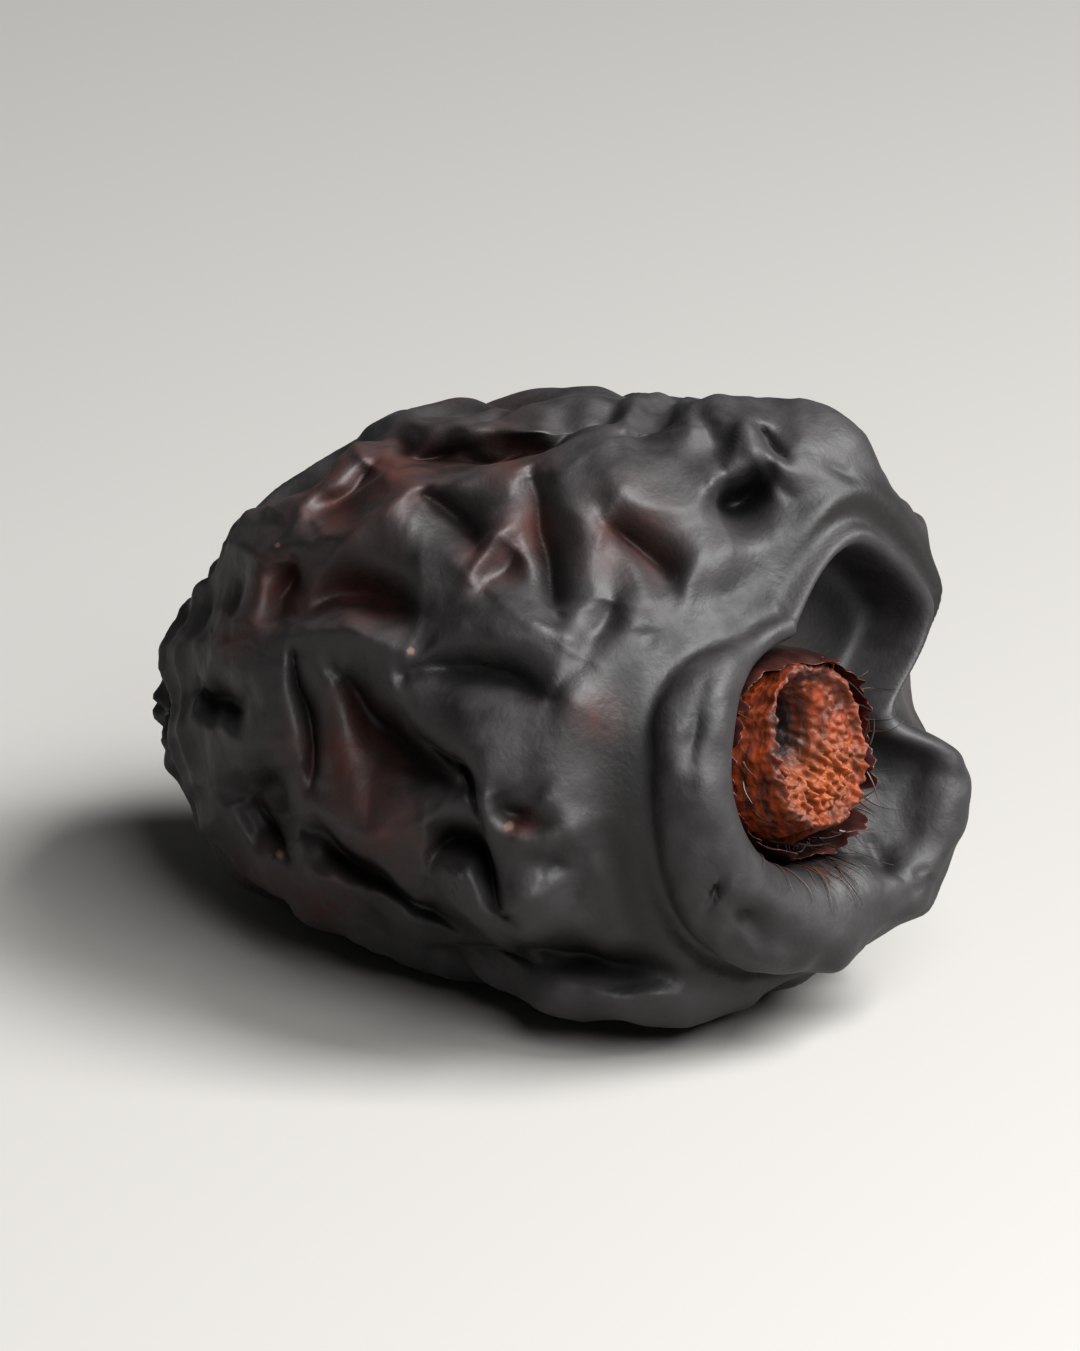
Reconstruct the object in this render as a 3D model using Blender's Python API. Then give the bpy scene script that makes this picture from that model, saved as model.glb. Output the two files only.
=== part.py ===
"""One dried ajwa date, lying on its side on a small flat spot.

The fruit is one solid: a short, blunt body whose skin has shrunk into folds, with a collar of
rolled skin round a deep socket at the stem end. The remnant of the calyx stands in the socket as
a solid of its own. X runs from the tip to the stem end, +Z is up, the near side faces -Y, and
the origin is at the middle of the underside of the bounding box. Lengths are in millimetres
until a mesh is written in metres.
"""

import math

import bmesh
import bpy
import numpy as np

METRES = 0.001

# Driving dimensions, in millimetres and degrees
TIP_REACH = 15.4  # from the widest place to the tip
STEM_REACH = 14.2  # from the widest place to the crest of the collar
BODY_RADIUS = 10.8
WIDTH_SHARE = 1.03  # the cross-section is a little wider than it is high
HEIGHT_SHARE = 0.97
TIP_DROOP = 3.1  # how far the tip hangs below the middle
STEM_FULLNESS = 2.7  # 2 is an ellipse, and more is squarer
TIP_FULLNESS = 1.72
COLLAR_ROLL = 1.8  # radius of the rolled skin round the socket
COLLAR_TURN = -8.0  # the stem end turns towards the near side, about Z
COLLAR_PITCH = 10.0  # and faces a little upwards
COLLAR_SHIFT = (-1.2, -1.2)  # and lies off the axis, in Y and Z
TURN_START = 2.0  # where along the body that turn is centred
LIP_REACH = 11.0  # from the widest place to the lip, where the body folds in behind the collar
LIP_GAP = 0.45
SHOULDER_REACH = 13.7  # where the body would close if it didn't fold in
SOCKET_RADIUS = 3.9
SOCKET_DEPTH = 4.2  # from the crest of the collar to the socket's floor
MIDDLE_HEIGHT = 9.8  # the middle of the body above the surface that it is pressed against
REST_SOFTNESS = 0.25

STUB_END = (2.35, 2.95)  # half the width and height of the remnant's broken end
STUB_ASIDE = (-0.2, 0.35)  # how far that end lies off the socket's middle
STUB_ROOT_RADIUS = 3.4
STUB_REACH = 13.8  # from the widest place of the fruit to the broken end
STUB_GAP = 0.4

FRUIT_CELLS = 31  # squares along a cube edge, before the cube is rounded
REMNANT_CELLS = 12

# Angles round the body are measured from the far side (+Y) towards the top
BOTTOM = 270.0

# The near side's folds are laid out as seen from this direction
NEAR_AZIMUTH = 36.0
NEAR_ELEVATION = 20.0
NEAR_FACETS = {
    "rounding": 0.4,  # of a ridge's edge, as a share of its spread
    "narrowest": 0.5,  # half width of a furrow
    "lift": 2.3,  # height of a ridge whose height below is 1
    "floor": 0.7,  # depth of a furrow whose depth below is 0
    "sink": 1.2,  # and how much deeper one is whose depth below is 1
    "sunk": 0.45,  # depth of skin far from any fold, and how little it holds out against them
    "slack": 0.12,
    "wide": 1.3,  # how far a ridge and a furrow reach
    "open": 1.5,
}

# Crisp folds of the near side: height, spread, then points (right, up), and how far the crest leans
NEAR_RIDGES = (
    (1.00, 0.7, ((-6.0, 8.8), (-5.5, 8.9), (-4.0, 8.8), (-2.0, 8.9), (0.0, 9.1), (1.5, 9.5),
                 (3.3, 9.9), (4.2, 10.1)), (0.0, -0.7)),
    (0.75, 1.2, ((-9.5, 4.5), (-8.0, 4.75), (-6.8, 4.9), (-5.5, 5.8), (-4.6, 6.5), (-3.5, 6.55),
                 (-2.2, 6.8),
                 (0.0, 7.7), (2.0, 8.5), (3.0, 9.1), (4.0, 9.9))),
    (0.80, 0.7, ((-9.4, 4.6), (-8.6, 5.6), (-7.5, 6.8), (-6.8, 7.6), (-6.2, 8.5), (-5.9, 8.9))),
    (0.55, 0.8, ((-10.6, 5.2), (-10.0, 6.2), (-9.0, 7.2), (-8.0, 7.8), (-7.0, 8.3), (-6.2, 8.8))),
    (0.60, 0.7, ((-9.5, 4.5), (-9.9, 3.2), (-10.2, 2.2), (-10.8, 2.0), (-11.4, 1.5), (-11.6, 0.8),
                 (-11.3, 0.1))),
    (0.70, 1.2, ((-11.3, 0.1), (-10.5, 0.1), (-9.4, 0.8), (-8.5, 1.1), (-7.5, 1.25), (-6.5, 1.15),
                 (-5.5, 0.8), (-4.2, 0.4)), (0.0, 0.3)),
    (0.45, 1.4, ((-6.8, 4.9), (-5.5, 3.8), (-4.3, 2.8), (-3.6, 2.3))),
    (0.55, 0.7, ((-1.4, 6.3), (-1.7, 5.2), (-2.0, 4.3), (-2.8, 3.4), (-3.8, 2.2))),
    (0.50, 1.3, ((-3.8, 2.2), (-3.0, 1.5), (-2.0, 1.3), (-1.0, 1.3), (0.2, 1.1))),
    (0.45, 1.0, ((0.9, 7.4), (0.7, 6.0), (0.9, 4.5), (1.3, 3.0), (0.8, 1.6), (0.3, 0.6))),
    (0.75, 1.2, ((3.8, 10.1), (4.5, 9.8), (5.5, 9.1), (6.3, 8.5), (7.2, 7.8), (8.2, 7.4))),
    (0.50, 1.0, ((1.7, 7.9), (1.8, 7.2), (2.2, 6.4), (3.0, 5.9), (4.0, 5.8), (5.0, 5.9))),
    (0.60, 0.9, ((5.0, 5.9), (5.5, 6.5), (6.3, 7.1), (7.2, 7.5), (8.4, 7.0), (9.6, 6.7), (10.5, 6.0),
                 (12.0, 5.8))),
    (0.35, 0.8, ((6.2, 9.8), (6.9, 9.4), (8.0, 9.0), (9.2, 8.2), (10.2, 7.4), (11.2, 6.8))),
    (0.65, 1.2, ((5.0, 3.6), (6.2, 3.6), (7.5, 3.9), (8.6, 3.9))),
    (0.40, 0.9, ((9.9, 6.5), (10.3, 5.4), (10.2, 4.6), (9.9, 4.0))),
    (0.45, 0.9, ((4.6, 5.4), (4.9, 4.2), (4.7, 3.0), (4.2, 1.6), (3.7, 0.2), (3.2, -1.8))),
    (0.45, 0.9, ((2.7, 3.4), (2.9, 2.0), (2.6, 0.6), (2.4, 0.1))),
    (0.60, 0.8, ((0.0, -0.4), (1.0, -1.1), (2.0, -1.7), (3.0, -2.0))),
    (0.80, 0.55, ((-9.3, 0.9), (-9.2, 0.0), (-9.1, -1.0), (-8.95, -2.0), (-8.8, -3.0), (-8.9, -4.2)),
                 (0.3, 0.0)),
    (0.80, 1.3, ((-9.0, -4.2), (-8.3, -4.4), (-7.3, -4.5), (-6.5, -4.9), (-6.0, -5.1), (-5.4, -4.6),
                 (-4.9, -4.3), (-4.2, -4.2)), (-0.1, -0.4)),
    (0.80, 1.1, ((-5.2, -0.4), (-4.5, -1.5), (-3.8, -2.0), (-2.8, -2.4), (-2.1, -3.0), (-1.9, -4.0),
                 (-1.9, -5.0),
                 (-1.7, -6.2), (-1.2, -7.2), (-0.7, -8.4)), (-0.4, -0.3)),
    (0.55, 0.7, ((-4.3, -4.2), (-4.2, -5.4), (-4.4, -6.6), (-4.7, -7.3))),
    (0.55, 0.7, ((-6.6, -5.2), (-5.9, -6.0), (-5.3, -6.8), (-4.7, -7.3))),
    (0.60, 0.9, ((-3.9, -6.3), (-3.2, -6.6), (-2.5, -7.4), (-1.9, -8.5))),
    (0.60, 0.8, ((-9.4, -6.6), (-8.6, -6.8), (-7.4, -6.8), (-6.8, -7.6), (-6.8, -9.2))),
    (0.50, 0.7, ((-9.3, -6.8), (-8.7, -7.9), (-7.8, -9.1), (-6.9, -9.3))),
    (0.45, 0.6, ((-6.1, -7.4), (-5.3, -7.8), (-4.4, -8.5))),
    (0.60, 0.7, ((-12.0, -3.6), (-11.2, -4.6), (-10.5, -5.6), (-9.8, -6.3), (-9.3, -7.0),
                 (-9.0, -8.0))),
    (0.50, 0.6, ((-11.0, -6.6), (-11.0, -7.4), (-10.8, -8.1))),
    (0.50, 0.6, ((-12.2, -1.9), (-11.4, -1.9), (-10.6, -2.3), (-9.6, -2.3), (-9.1, -2.0))),
    (0.50, 0.6, ((-10.2, 0.4), (-9.9, -0.6), (-9.9, -1.6), (-10.4, -2.3), (-10.8, -3.1))),
    (0.55, 0.8, ((-13.2, 1.7), (-12.0, 3.0), (-11.0, 3.9), (-10.2, 4.6), (-9.5, 4.5))),
    (0.45, 0.6, ((-13.9, 0.4), (-12.8, 1.0), (-11.7, 1.2), (-11.4, 1.5))),
    (0.80, 0.8, ((-5.4, -10.4), (-3.0, -10.5), (0.0, -10.9), (3.0, -11.1), (4.5, -10.9),
                 (5.5, -10.0)), (0.0, 0.3)),
    (0.55, 0.8, ((-1.8, -4.2), (-1.4, -5.2), (-0.5, -5.6), (0.8, -5.1), (1.8, -4.8), (2.7, -5.0))),
    (0.35, 0.8, ((0.2, -6.6), (1.2, -6.4), (1.9, -7.2), (2.2, -8.6))),
    (0.30, 0.7, ((-1.0, -3.4), (0.4, -3.1), (1.8, -2.9), (2.9, -3.0))),
)

# Furrows between those folds: depth, half width, then points
NEAR_FURROWS = (
    (2.20, 0.60, ((-6.1, 8.2), (-4.5, 7.9), (-3.0, 7.8), (-1.0, 8.1), (1.0, 8.7), (3.0, 9.5))),
    (1.20, 0.80, ((-5.8, 7.3), (-4.0, 7.3), (-2.0, 7.5), (0.0, 8.1))),
    (1.90, 0.55, ((-8.7, 5.1), (-8.0, 5.6), (-7.2, 6.3), (-6.5, 7.1), (-6.2, 7.8))),
    (1.60, 0.55, ((-9.8, 5.6), (-8.8, 6.6), (-7.8, 7.4), (-6.8, 8.2))),
    (1.30, 0.40, ((-9.1, 3.9), (-9.3, 2.8), (-9.4, 1.6))),
    (1.70, 0.95, ((-9.0, 2.0), (-7.8, 2.5), (-6.6, 2.7), (-5.2, 2.5), (-4.4, 2.4))),
    (0.60, 0.35, ((-4.3, 6.1), (-3.4, 5.6), (-2.8, 5.0), (-2.5, 4.3))),
    (0.60, 0.30, ((-1.3, 4.4), (-1.7, 3.5), (-2.2, 2.8))),
    (0.80, 0.45, ((-0.7, 6.9), (-0.5, 5.6), (-0.2, 4.2), (0.0, 2.9), (0.1, 2.1))),
    (0.80, 0.40, ((2.4, 8.2), (3.3, 8.4), (3.9, 8.7), (4.4, 9.3))),
    (0.45, 0.70, ((4.8, 8.8), (5.6, 8.1), (6.2, 7.8))),
    (2.00, 0.55, ((5.6, 5.9), (6.3, 6.1), (7.2, 6.8))),
    (0.80, 0.70, ((7.4, 6.5), (8.5, 6.0), (9.3, 5.2), (9.5, 4.3), (9.0, 3.4))),
    (0.70, 0.30, ((5.9, 2.7), (7.0, 2.7), (8.0, 2.9), (8.8, 3.3))),
    (0.80, 0.65, ((1.6, 5.1), (2.6, 4.6), (3.6, 3.8), (4.2, 2.8))),
    (0.60, 0.40, ((2.0, 2.7), (1.7, 1.6), (1.2, 0.5))),
    (0.40, 0.60, ((3.3, 1.6), (3.3, 0.6))),
    (0.60, 0.20, ((-8.95, 0.4), (-8.8, -1.0), (-8.55, -2.4), (-8.3, -3.7))),
    (1.90, 0.75, ((-7.6, 0.2), (-6.6, -0.7), (-5.8, -1.6), (-4.8, -2.5), (-3.9, -3.1), (-3.0, -3.6))),
    (0.90, 0.25, ((-4.9, -1.4), (-4.3, -2.1), (-3.4, -2.5), (-2.7, -2.9), (-2.45, -3.8), (-2.4, -5.0))),
    (0.60, 0.40, ((-4.8, 0.0), (-3.5, 0.3), (-2.5, 0.2), (-1.0, -0.2), (0.0, -0.6))),
    (1.80, 0.45, ((-4.3, -6.9), (-3.9, -5.8), (-3.0, -5.5), (-2.3, -5.8), (-1.9, -6.8), (-1.4, -8.0))),
    (2.20, 0.65, ((-9.0, -4.9), (-7.8, -5.2), (-6.9, -6.1), (-5.9, -7.0), (-4.8, -7.7), (-3.6, -8.3),
                 (-2.0, -9.2))),
    (2.00, 0.80, ((-9.8, -3.0), (-9.6, -3.9), (-9.4, -4.9))),
    (1.40, 0.45, ((-10.8, -4.2), (-9.9, -5.4), (-9.2, -6.1))),
    (1.40, 0.50, ((-12.3, -0.6), (-11.6, -0.9), (-11.0, -1.0), (-10.4, -0.9))),
    (0.60, 0.35, ((-9.3, -7.3), (-9.0, -8.4), (-8.0, -9.6))),
    (0.60, 0.40, ((-10.2, -7.7), (-10.0, -8.8), (-9.0, -9.6))),
    (0.60, 0.40, ((-7.0, -7.2), (-6.4, -8.0), (-5.6, -8.8))),
    (1.40, 0.50, ((-4.0, -9.5), (-1.5, -9.7), (1.0, -9.8), (3.0, -9.9), (4.4, -9.7))),
    (1.50, 0.40, ((2.0, -5.4), (2.5, -6.3), (2.8, -7.6), (3.3, -8.7))),
    (0.45, 0.60, ((-0.3, -6.2), (0.5, -6.4), (1.2, -6.0))),
    (0.50, 0.40, ((-1.6, -3.6), (-1.3, -4.4), (-0.6, -4.9))),
    (0.40, 0.50, ((-11.0, 4.6), (-11.9, 2.9), (-12.6, 1.2))),
    (0.50, 0.40, ((-10.5, 3.6), (-11.0, 2.7), (-11.3, 2.1))),
    (0.25, 0.20, ((6.1, 9.9), (6.6, 9.4), (7.4, 9.2), (8.4, 9.3))),
    (0.25, 0.20, ((7.0, 8.3), (7.9, 7.5))),
    (0.25, 0.18, ((9.7, 7.1), (10.8, 6.4), (11.9, 6.1))),
)

# Folds on the sides that the layout above doesn't reach, lying along the body
FAR_FOLDS = {
    "seed": 5,
    "count": 62,
    "length": 3.8,
    "width": 1.9,
    "wander": 28.0,
    "depth": (0.6, 1.9),
    "rounding": 0.5,
    "crest": 0.8,
    "rise": 0.45,
}
FOLD_WARP = 0.8


def eased(low, high, value):
    """0 at low, 1 at high, and a smooth step between."""
    share = np.clip((value - low) / (high - low), 0.0, 1.0)
    return share * share * (3.0 - 2.0 * share)


def side_share(clock, centre, spread):
    """1 at a clock angle in degrees, measured from +Y towards +Z, falling to 0 at the spread."""
    away = np.abs((clock - centre + 180.0) % 360.0 - 180.0)
    return 1.0 - eased(0.0, spread, away)


def evened(rows, count=900, passes=20):
    """An outline at even steps, with its corners rounded by averaging neighbours."""
    line = np.array(rows)
    step = np.concatenate([[0.0], np.cumsum(np.hypot(*np.diff(line[:, :2], axis=0).T))])
    even = np.linspace(0.0, step[-1], count)
    line = np.column_stack([np.interp(even, step, column) for column in line.T])
    for _ in range(passes):
        line[1:-1] += 0.5 * (0.5 * (line[:-2] + line[2:]) - line[1:-1])
    return line


def fruit_outline(clock):
    """Rows down the fruit at one clock angle, from the socket's floor to the tip.

    The columns are x, radius, share of collar and share of folds.
    """
    past = (clock + 90.0) % 360.0 - 90.0
    thin = eased(-16.0, 2.0, past) * eased(160.0, 108.0, past)
    pocket = eased(3.0, 28.0, past) * eased(90.0, 56.0, past)
    left = side_share(clock, 170.0, 75.0)
    socket = SOCKET_RADIUS + 3.5 * pocket + 0.25 * left
    thick = 1.0 + 0.06 * side_share(clock, BOTTOM, 100.0)
    roll = COLLAR_ROLL * (thick - 0.74 * thin - 0.24 * left * (1.0 - thin))
    outer = socket + 2.0 * roll + 0.4 * side_share(clock, 315.0, 40.0)
    cup = eased(-78.0, -40.0, past) * eased(-4.0, -22.0, past)
    roll -= 0.85 * cup
    roll_x = STEM_REACH - 1.1 * thin - roll
    roll_radius = outer - roll
    floor_x = STEM_REACH - SOCKET_DEPTH
    wall_top = max(roll_x - 0.3, floor_x + 0.5)
    floor = [(floor_x, r, 1.0, 0.0) for r in np.linspace(0.0, socket - 0.3, 16)]
    wall = []
    for x in np.linspace(floor_x + 0.3, wall_top, 24):
        flare = max(0.0, (x - 11.5) / (wall_top - 11.5)) ** 0.6
        wall.append((x, socket + (roll_radius - roll - socket) * flare, 1.0, 0.8 * cup * flare))
    turned = np.radians(np.linspace(-80.0, 140.0, 60))
    smooth = np.maximum(eased(1.3, 0.4, np.abs(turned - 1.0)), 0.8 * cup * (turned < 1.0)) * (1.0 - thin)
    crest = np.column_stack([roll_x + roll * np.cos(turned), roll_radius + roll * np.sin(turned)])
    crest = [(*place, 1.0, share) for place, share in zip(crest, smooth)]
    lip_x = LIP_REACH + 0.9 * thin + 0.7 * pocket
    gap = LIP_GAP * (1.0 - 0.5 * thin)
    lip_radius = outer + gap + 0.35 * thin
    aside = (lip_x - roll_x, lip_radius - roll_radius)
    clear = roll + gap
    tangent = math.atan2(aside[1], aside[0]) + math.acos(min(1.0, clear / math.hypot(*aside)))
    back = np.linspace(math.radians(135.0), min(tangent, math.radians(134.0)), 12)
    groove = [(roll_x + clear * math.cos(t), roll_radius + clear * math.sin(t), 0.5, 0.0) for t in back]
    angle = np.linspace(math.acos(LIP_REACH / SHOULDER_REACH), math.pi, 160)
    ahead = -np.cos(angle)
    reach = np.where(ahead < 0.0, SHOULDER_REACH, TIP_REACH)
    fullness = np.where(ahead < 0.0, STEM_FULLNESS, TIP_FULLNESS)
    radius = BODY_RADIUS * (1.0 - np.abs(ahead) ** fullness) ** (1.0 / fullness)
    x = -ahead * reach
    radius += (lip_radius - radius[0]) * eased(5.0, LIP_REACH, x) ** 1.5
    radius += 2.0 * side_share(clock, 62.0, 60.0) * np.exp(-(((x - 8.0) / 3.0) ** 2))
    radius -= 0.9 * side_share(clock, 88.0, 75.0) * np.exp(-(((x + 2.5) / 5.0) ** 2))
    x += (lip_x - LIP_REACH) * eased(2.0, LIP_REACH, x)
    folds = eased(0.0, 0.22, angle - angle[0])
    flank = list(zip(x, radius, np.zeros(160), folds))
    return evened([*floor, *wall, *crest, *groove, *flank], passes=80)


def stub_outline():
    """Rows of x and radius down the remnant, from its broken end to its root."""
    root_x = STEM_REACH - SOCKET_DEPTH + STUB_GAP
    end = [(STUB_REACH, r) for r in np.linspace(0.0, STUB_END[1] - 0.25, 10)]
    root = [(root_x, r) for r in np.linspace(STUB_ROOT_RADIUS - 0.2, 0.0, 10)]
    return evened([*end, (STUB_REACH - 0.3, STUB_END[1]), (root_x + 0.3, STUB_ROOT_RADIUS), *root])


def spread_evenly(line, count=600):
    """The outline at steps that take equal areas of skin, as equal solid angles of a ball do."""
    step = np.hypot(*np.diff(line[:, :2], axis=0).T)
    area = np.concatenate([[0.0], np.cumsum(0.5 * (line[1:, 1] + line[:-1, 1]) * step)])
    return np.column_stack([np.interp(np.linspace(0.0, area[-1], count), area, column) for column in line.T])


def blended(table, clock, share):
    """Columns between the outlines of a table, whose first axis is the clock angle and second the share."""
    turn = (clock + 180.0) / 360.0 * (len(table) - 1)
    step = share * (table.shape[1] - 1)
    a = np.minimum(turn.astype(int), len(table) - 2)
    b = np.minimum(step.astype(int), table.shape[1] - 2)
    u, v = (turn - a)[:, None], (step - b)[:, None]
    near = table[a, b] * (1.0 - v) + table[a, b + 1] * v
    return (near * (1.0 - u) + (table[a + 1, b] * (1.0 - v) + table[a + 1, b + 1] * v) * u).T


def round_axis(direction):
    """Unit Y and Z of each direction round the X axis, and the clock angle in degrees."""
    across = direction[:, 1:] / np.maximum(np.linalg.norm(direction[:, 1:], axis=1), 1e-9)[:, None]
    return across, np.degrees(np.arctan2(across[:, 1], across[:, 0]))


def bent(x, y, z):
    """Points with the stem end, and what stands in it, turned, tipped and set off the axis."""
    share = eased(1.0, 9.8, x)
    ahead = x - TURN_START
    pitch = np.radians(COLLAR_PITCH) * share
    ahead, z = ahead * np.cos(pitch) - z * np.sin(pitch), ahead * np.sin(pitch) + z * np.cos(pitch)
    turn = np.radians(COLLAR_TURN) * share
    ahead, y = ahead * np.cos(turn) - y * np.sin(turn), ahead * np.sin(turn) + y * np.cos(turn)
    return np.column_stack([TURN_START + ahead, y + COLLAR_SHIFT[0] * share, z + COLLAR_SHIFT[1] * share])


def smooth_body(direction, outlines=[]):
    """The unwrinkled skin's points for unit directions, each one's share of collar, and share of folds."""
    if not outlines:
        outlines.extend(spread_evenly(fruit_outline(clock)) for clock in np.linspace(-180.0, 180.0, 145))
    across, clock = round_axis(direction)
    x, radius, collar, folds = blended(np.array(outlines), clock, (1.0 - direction[:, 0]) / 2.0)
    body = np.where(x < 0.0, 1.0, eased(7.4, 10.0, radius))
    angle = np.radians(clock)
    lumps = 0.03 * np.cos(3.0 * angle + 0.6 + 0.12 * x) + 0.025 * np.cos(2.0 * angle - 0.5 + 0.2 * x)
    y = across[:, 0] * radius * (1.0 + body * (lumps + WIDTH_SHARE - 1.0))
    z = across[:, 1] * radius * (1.0 + body * (lumps + HEIGHT_SHARE - 1.0))
    z = z - TIP_DROOP * eased(0.0, 1.0, -x / TIP_REACH) ** 1.5
    return bent(x, y, z), collar, folds


def near_axes():
    """Unit vectors to the right, upwards and towards the viewer, looking at the near side."""
    turn = math.radians(NEAR_AZIMUTH)
    rise = math.radians(NEAR_ELEVATION)
    right = (math.cos(turn), math.sin(turn), 0.0)
    up = (-math.sin(turn) * math.sin(rise), math.cos(turn) * math.sin(rise), math.cos(rise))
    towards = (math.sin(turn) * math.cos(rise), -math.cos(turn) * math.cos(rise), math.sin(rise))
    return np.array([right, up, towards])


def rounded_line(points, pieces=10):
    """A smooth line through the points, as short straight pieces."""
    points = np.array(points)
    ends = np.vstack([2.0 * points[0] - points[1], points, 2.0 * points[-1] - points[-2]])
    line = []
    for a, b, c, d in zip(ends, ends[1:], ends[2:], ends[3:]):
        for t in np.arange(pieces) / pieces:
            square = (2.0 * a - 5.0 * b + 4.0 * c - d) * t**2
            cube = (3.0 * b - a - 3.0 * c + d) * t**3
            line.append(0.5 * (2.0 * b + (c - a) * t + square + cube))
    return np.array([*line, points[-1]])


def away_from(seen, points):
    """Distance to a rounded line, and how far along the line the nearest place is."""
    line = rounded_line(points)
    start, run = line[:-1], np.diff(line, axis=0)
    share = np.einsum("psk,sk->ps", seen[:, None] - start[None], run) / (run * run).sum(1)
    share = np.clip(share, 0.0, 1.0)
    gap = np.linalg.norm(seen[:, None] - start[None] - share[:, :, None] * run[None], axis=2)
    nearest = gap.argmin(axis=1)
    rows = np.arange(len(seen))
    return gap[rows, nearest], (nearest + share[rows, nearest]) / len(run)


def taper(along, end):
    """1 at the middle of a line, and less towards its ends."""
    return np.sqrt(np.sin(math.pi * np.clip(along, end, 1.0 - end)))


def near_facets(seen):
    """Height of the near side's skin at the points seen there, and how far it leans to the right and up.

    Skin between a ridge and a furrow slopes evenly, as a folded sheet does.
    """
    shape = NEAR_FACETS
    weight = np.full(len(seen), shape["slack"])
    total = -shape["sunk"] * weight
    lean = np.zeros((len(seen), 2))
    for height, spread, points, *leaning in NEAR_RIDGES:
        away, along = away_from(seen, points)
        fade = 0.5 + 0.5 * taper(along, 0.05)
        near = np.exp(-away / (shape["wide"] * spread))
        pull = fade * near / np.sqrt(away**2 + (shape["rounding"] * spread) ** 2)
        weight += pull
        total += pull * shape["lift"] * height * fade
        for amount in leaning:
            lean += (taper(along, 0.05) * near**1.5)[:, None] * np.array(amount)
    for depth, half_width, points in NEAR_FURROWS:
        away, along = away_from(seen, points)
        width = max(half_width, shape["narrowest"])
        near = np.exp(-away / (shape["open"] * (width + 0.35)))
        pull = taper(along, 0.04) * near / np.sqrt(away**2 + (0.5 * width) ** 2)
        weight += pull
        total -= pull * (shape["floor"] + shape["sink"] * depth) * (0.3 + 0.7 * taper(along, 0.04))
    return total / weight, lean


def waves(points, length, seed, count=14):
    """A smooth random field between about -1 and 1, whose bumps are about one length apart."""
    rng = np.random.default_rng(seed)
    way = rng.normal(size=(count, 3))
    way *= (2.0 * math.pi / length / np.linalg.norm(way, axis=1) * rng.uniform(0.7, 1.4, count))[:, None]
    ripple = np.sin(points @ way.T + rng.uniform(0.0, 2.0 * math.pi, count))
    return ripple.sum(axis=1) * math.sqrt(2.0 / count) / 1.6


def sunken_cells(points, centre, axes, depth, shape):
    """Relief of skin sunk in cells, with a ridge wherever two cells meet.

    Each cell has a centre, rows of axes that turn an offset into cell sizes, and a depth.
    """
    relief = np.empty(len(points))
    for first in range(0, len(points), 8000):
        block = points[first : first + 8000]
        away = np.linalg.norm(np.einsum("pck,cak->pca", block[:, None] - centre[None], axes), axis=2)
        nearest, second = np.partition(away, 1, axis=1)[:, :2].T
        share = np.exp(-5.0 * (away - nearest[:, None]))
        sunk = (share * depth).sum(1) / share.sum(1)
        edge = np.sqrt((second - nearest) ** 2 + shape["rounding"] ** 2) - shape["rounding"]
        relief[first : first + 8000] = sunk * (shape["rise"] - (1.0 - np.exp(-edge / shape["crest"])))
    return relief


def far_cells(points):
    """Relief of the folds that are strewn evenly over the body."""
    rng = np.random.default_rng(FAR_FOLDS["seed"])
    count = FAR_FOLDS["count"]
    x = 1.0 - 2.0 * (np.arange(count) + 0.5) / count
    turn = math.pi * (1.0 + math.sqrt(5.0)) * np.arange(count)
    rim = np.sqrt(1.0 - x * x)
    direction = np.column_stack([x, rim * np.cos(turn), rim * np.sin(turn)])
    direction += rng.normal(0.0, 1.1 / math.sqrt(count), direction.shape)
    direction /= np.linalg.norm(direction, axis=1)[:, None]
    centre = smooth_body(direction)[0]
    ahead = direction + np.array([0.02, 0.0, 0.0])
    ahead /= np.linalg.norm(ahead, axis=1)[:, None]
    lengthwise = smooth_body(ahead)[0] - centre
    lengthwise /= np.linalg.norm(lengthwise, axis=1)[:, None]
    outward = centre * np.array([0.65, 1.0, 1.0])
    outward -= (outward * lengthwise).sum(1)[:, None] * lengthwise
    outward /= np.linalg.norm(outward, axis=1)[:, None]
    crosswise = np.cross(outward, lengthwise)
    angle = rng.normal(0.0, math.radians(FAR_FOLDS["wander"]), count)[:, None]
    along = lengthwise * np.cos(angle) + crosswise * np.sin(angle)
    across = crosswise * np.cos(angle) - lengthwise * np.sin(angle)
    size = rng.uniform(0.75, 1.25, (count, 1))
    width = FAR_FOLDS["width"]
    axes = np.stack([along / (FAR_FOLDS["length"] * size), across / (width * size), outward / width], axis=1)
    depth = rng.uniform(*FAR_FOLDS["depth"], count)
    return sunken_cells(points, centre, axes, depth, FAR_FOLDS)


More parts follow.
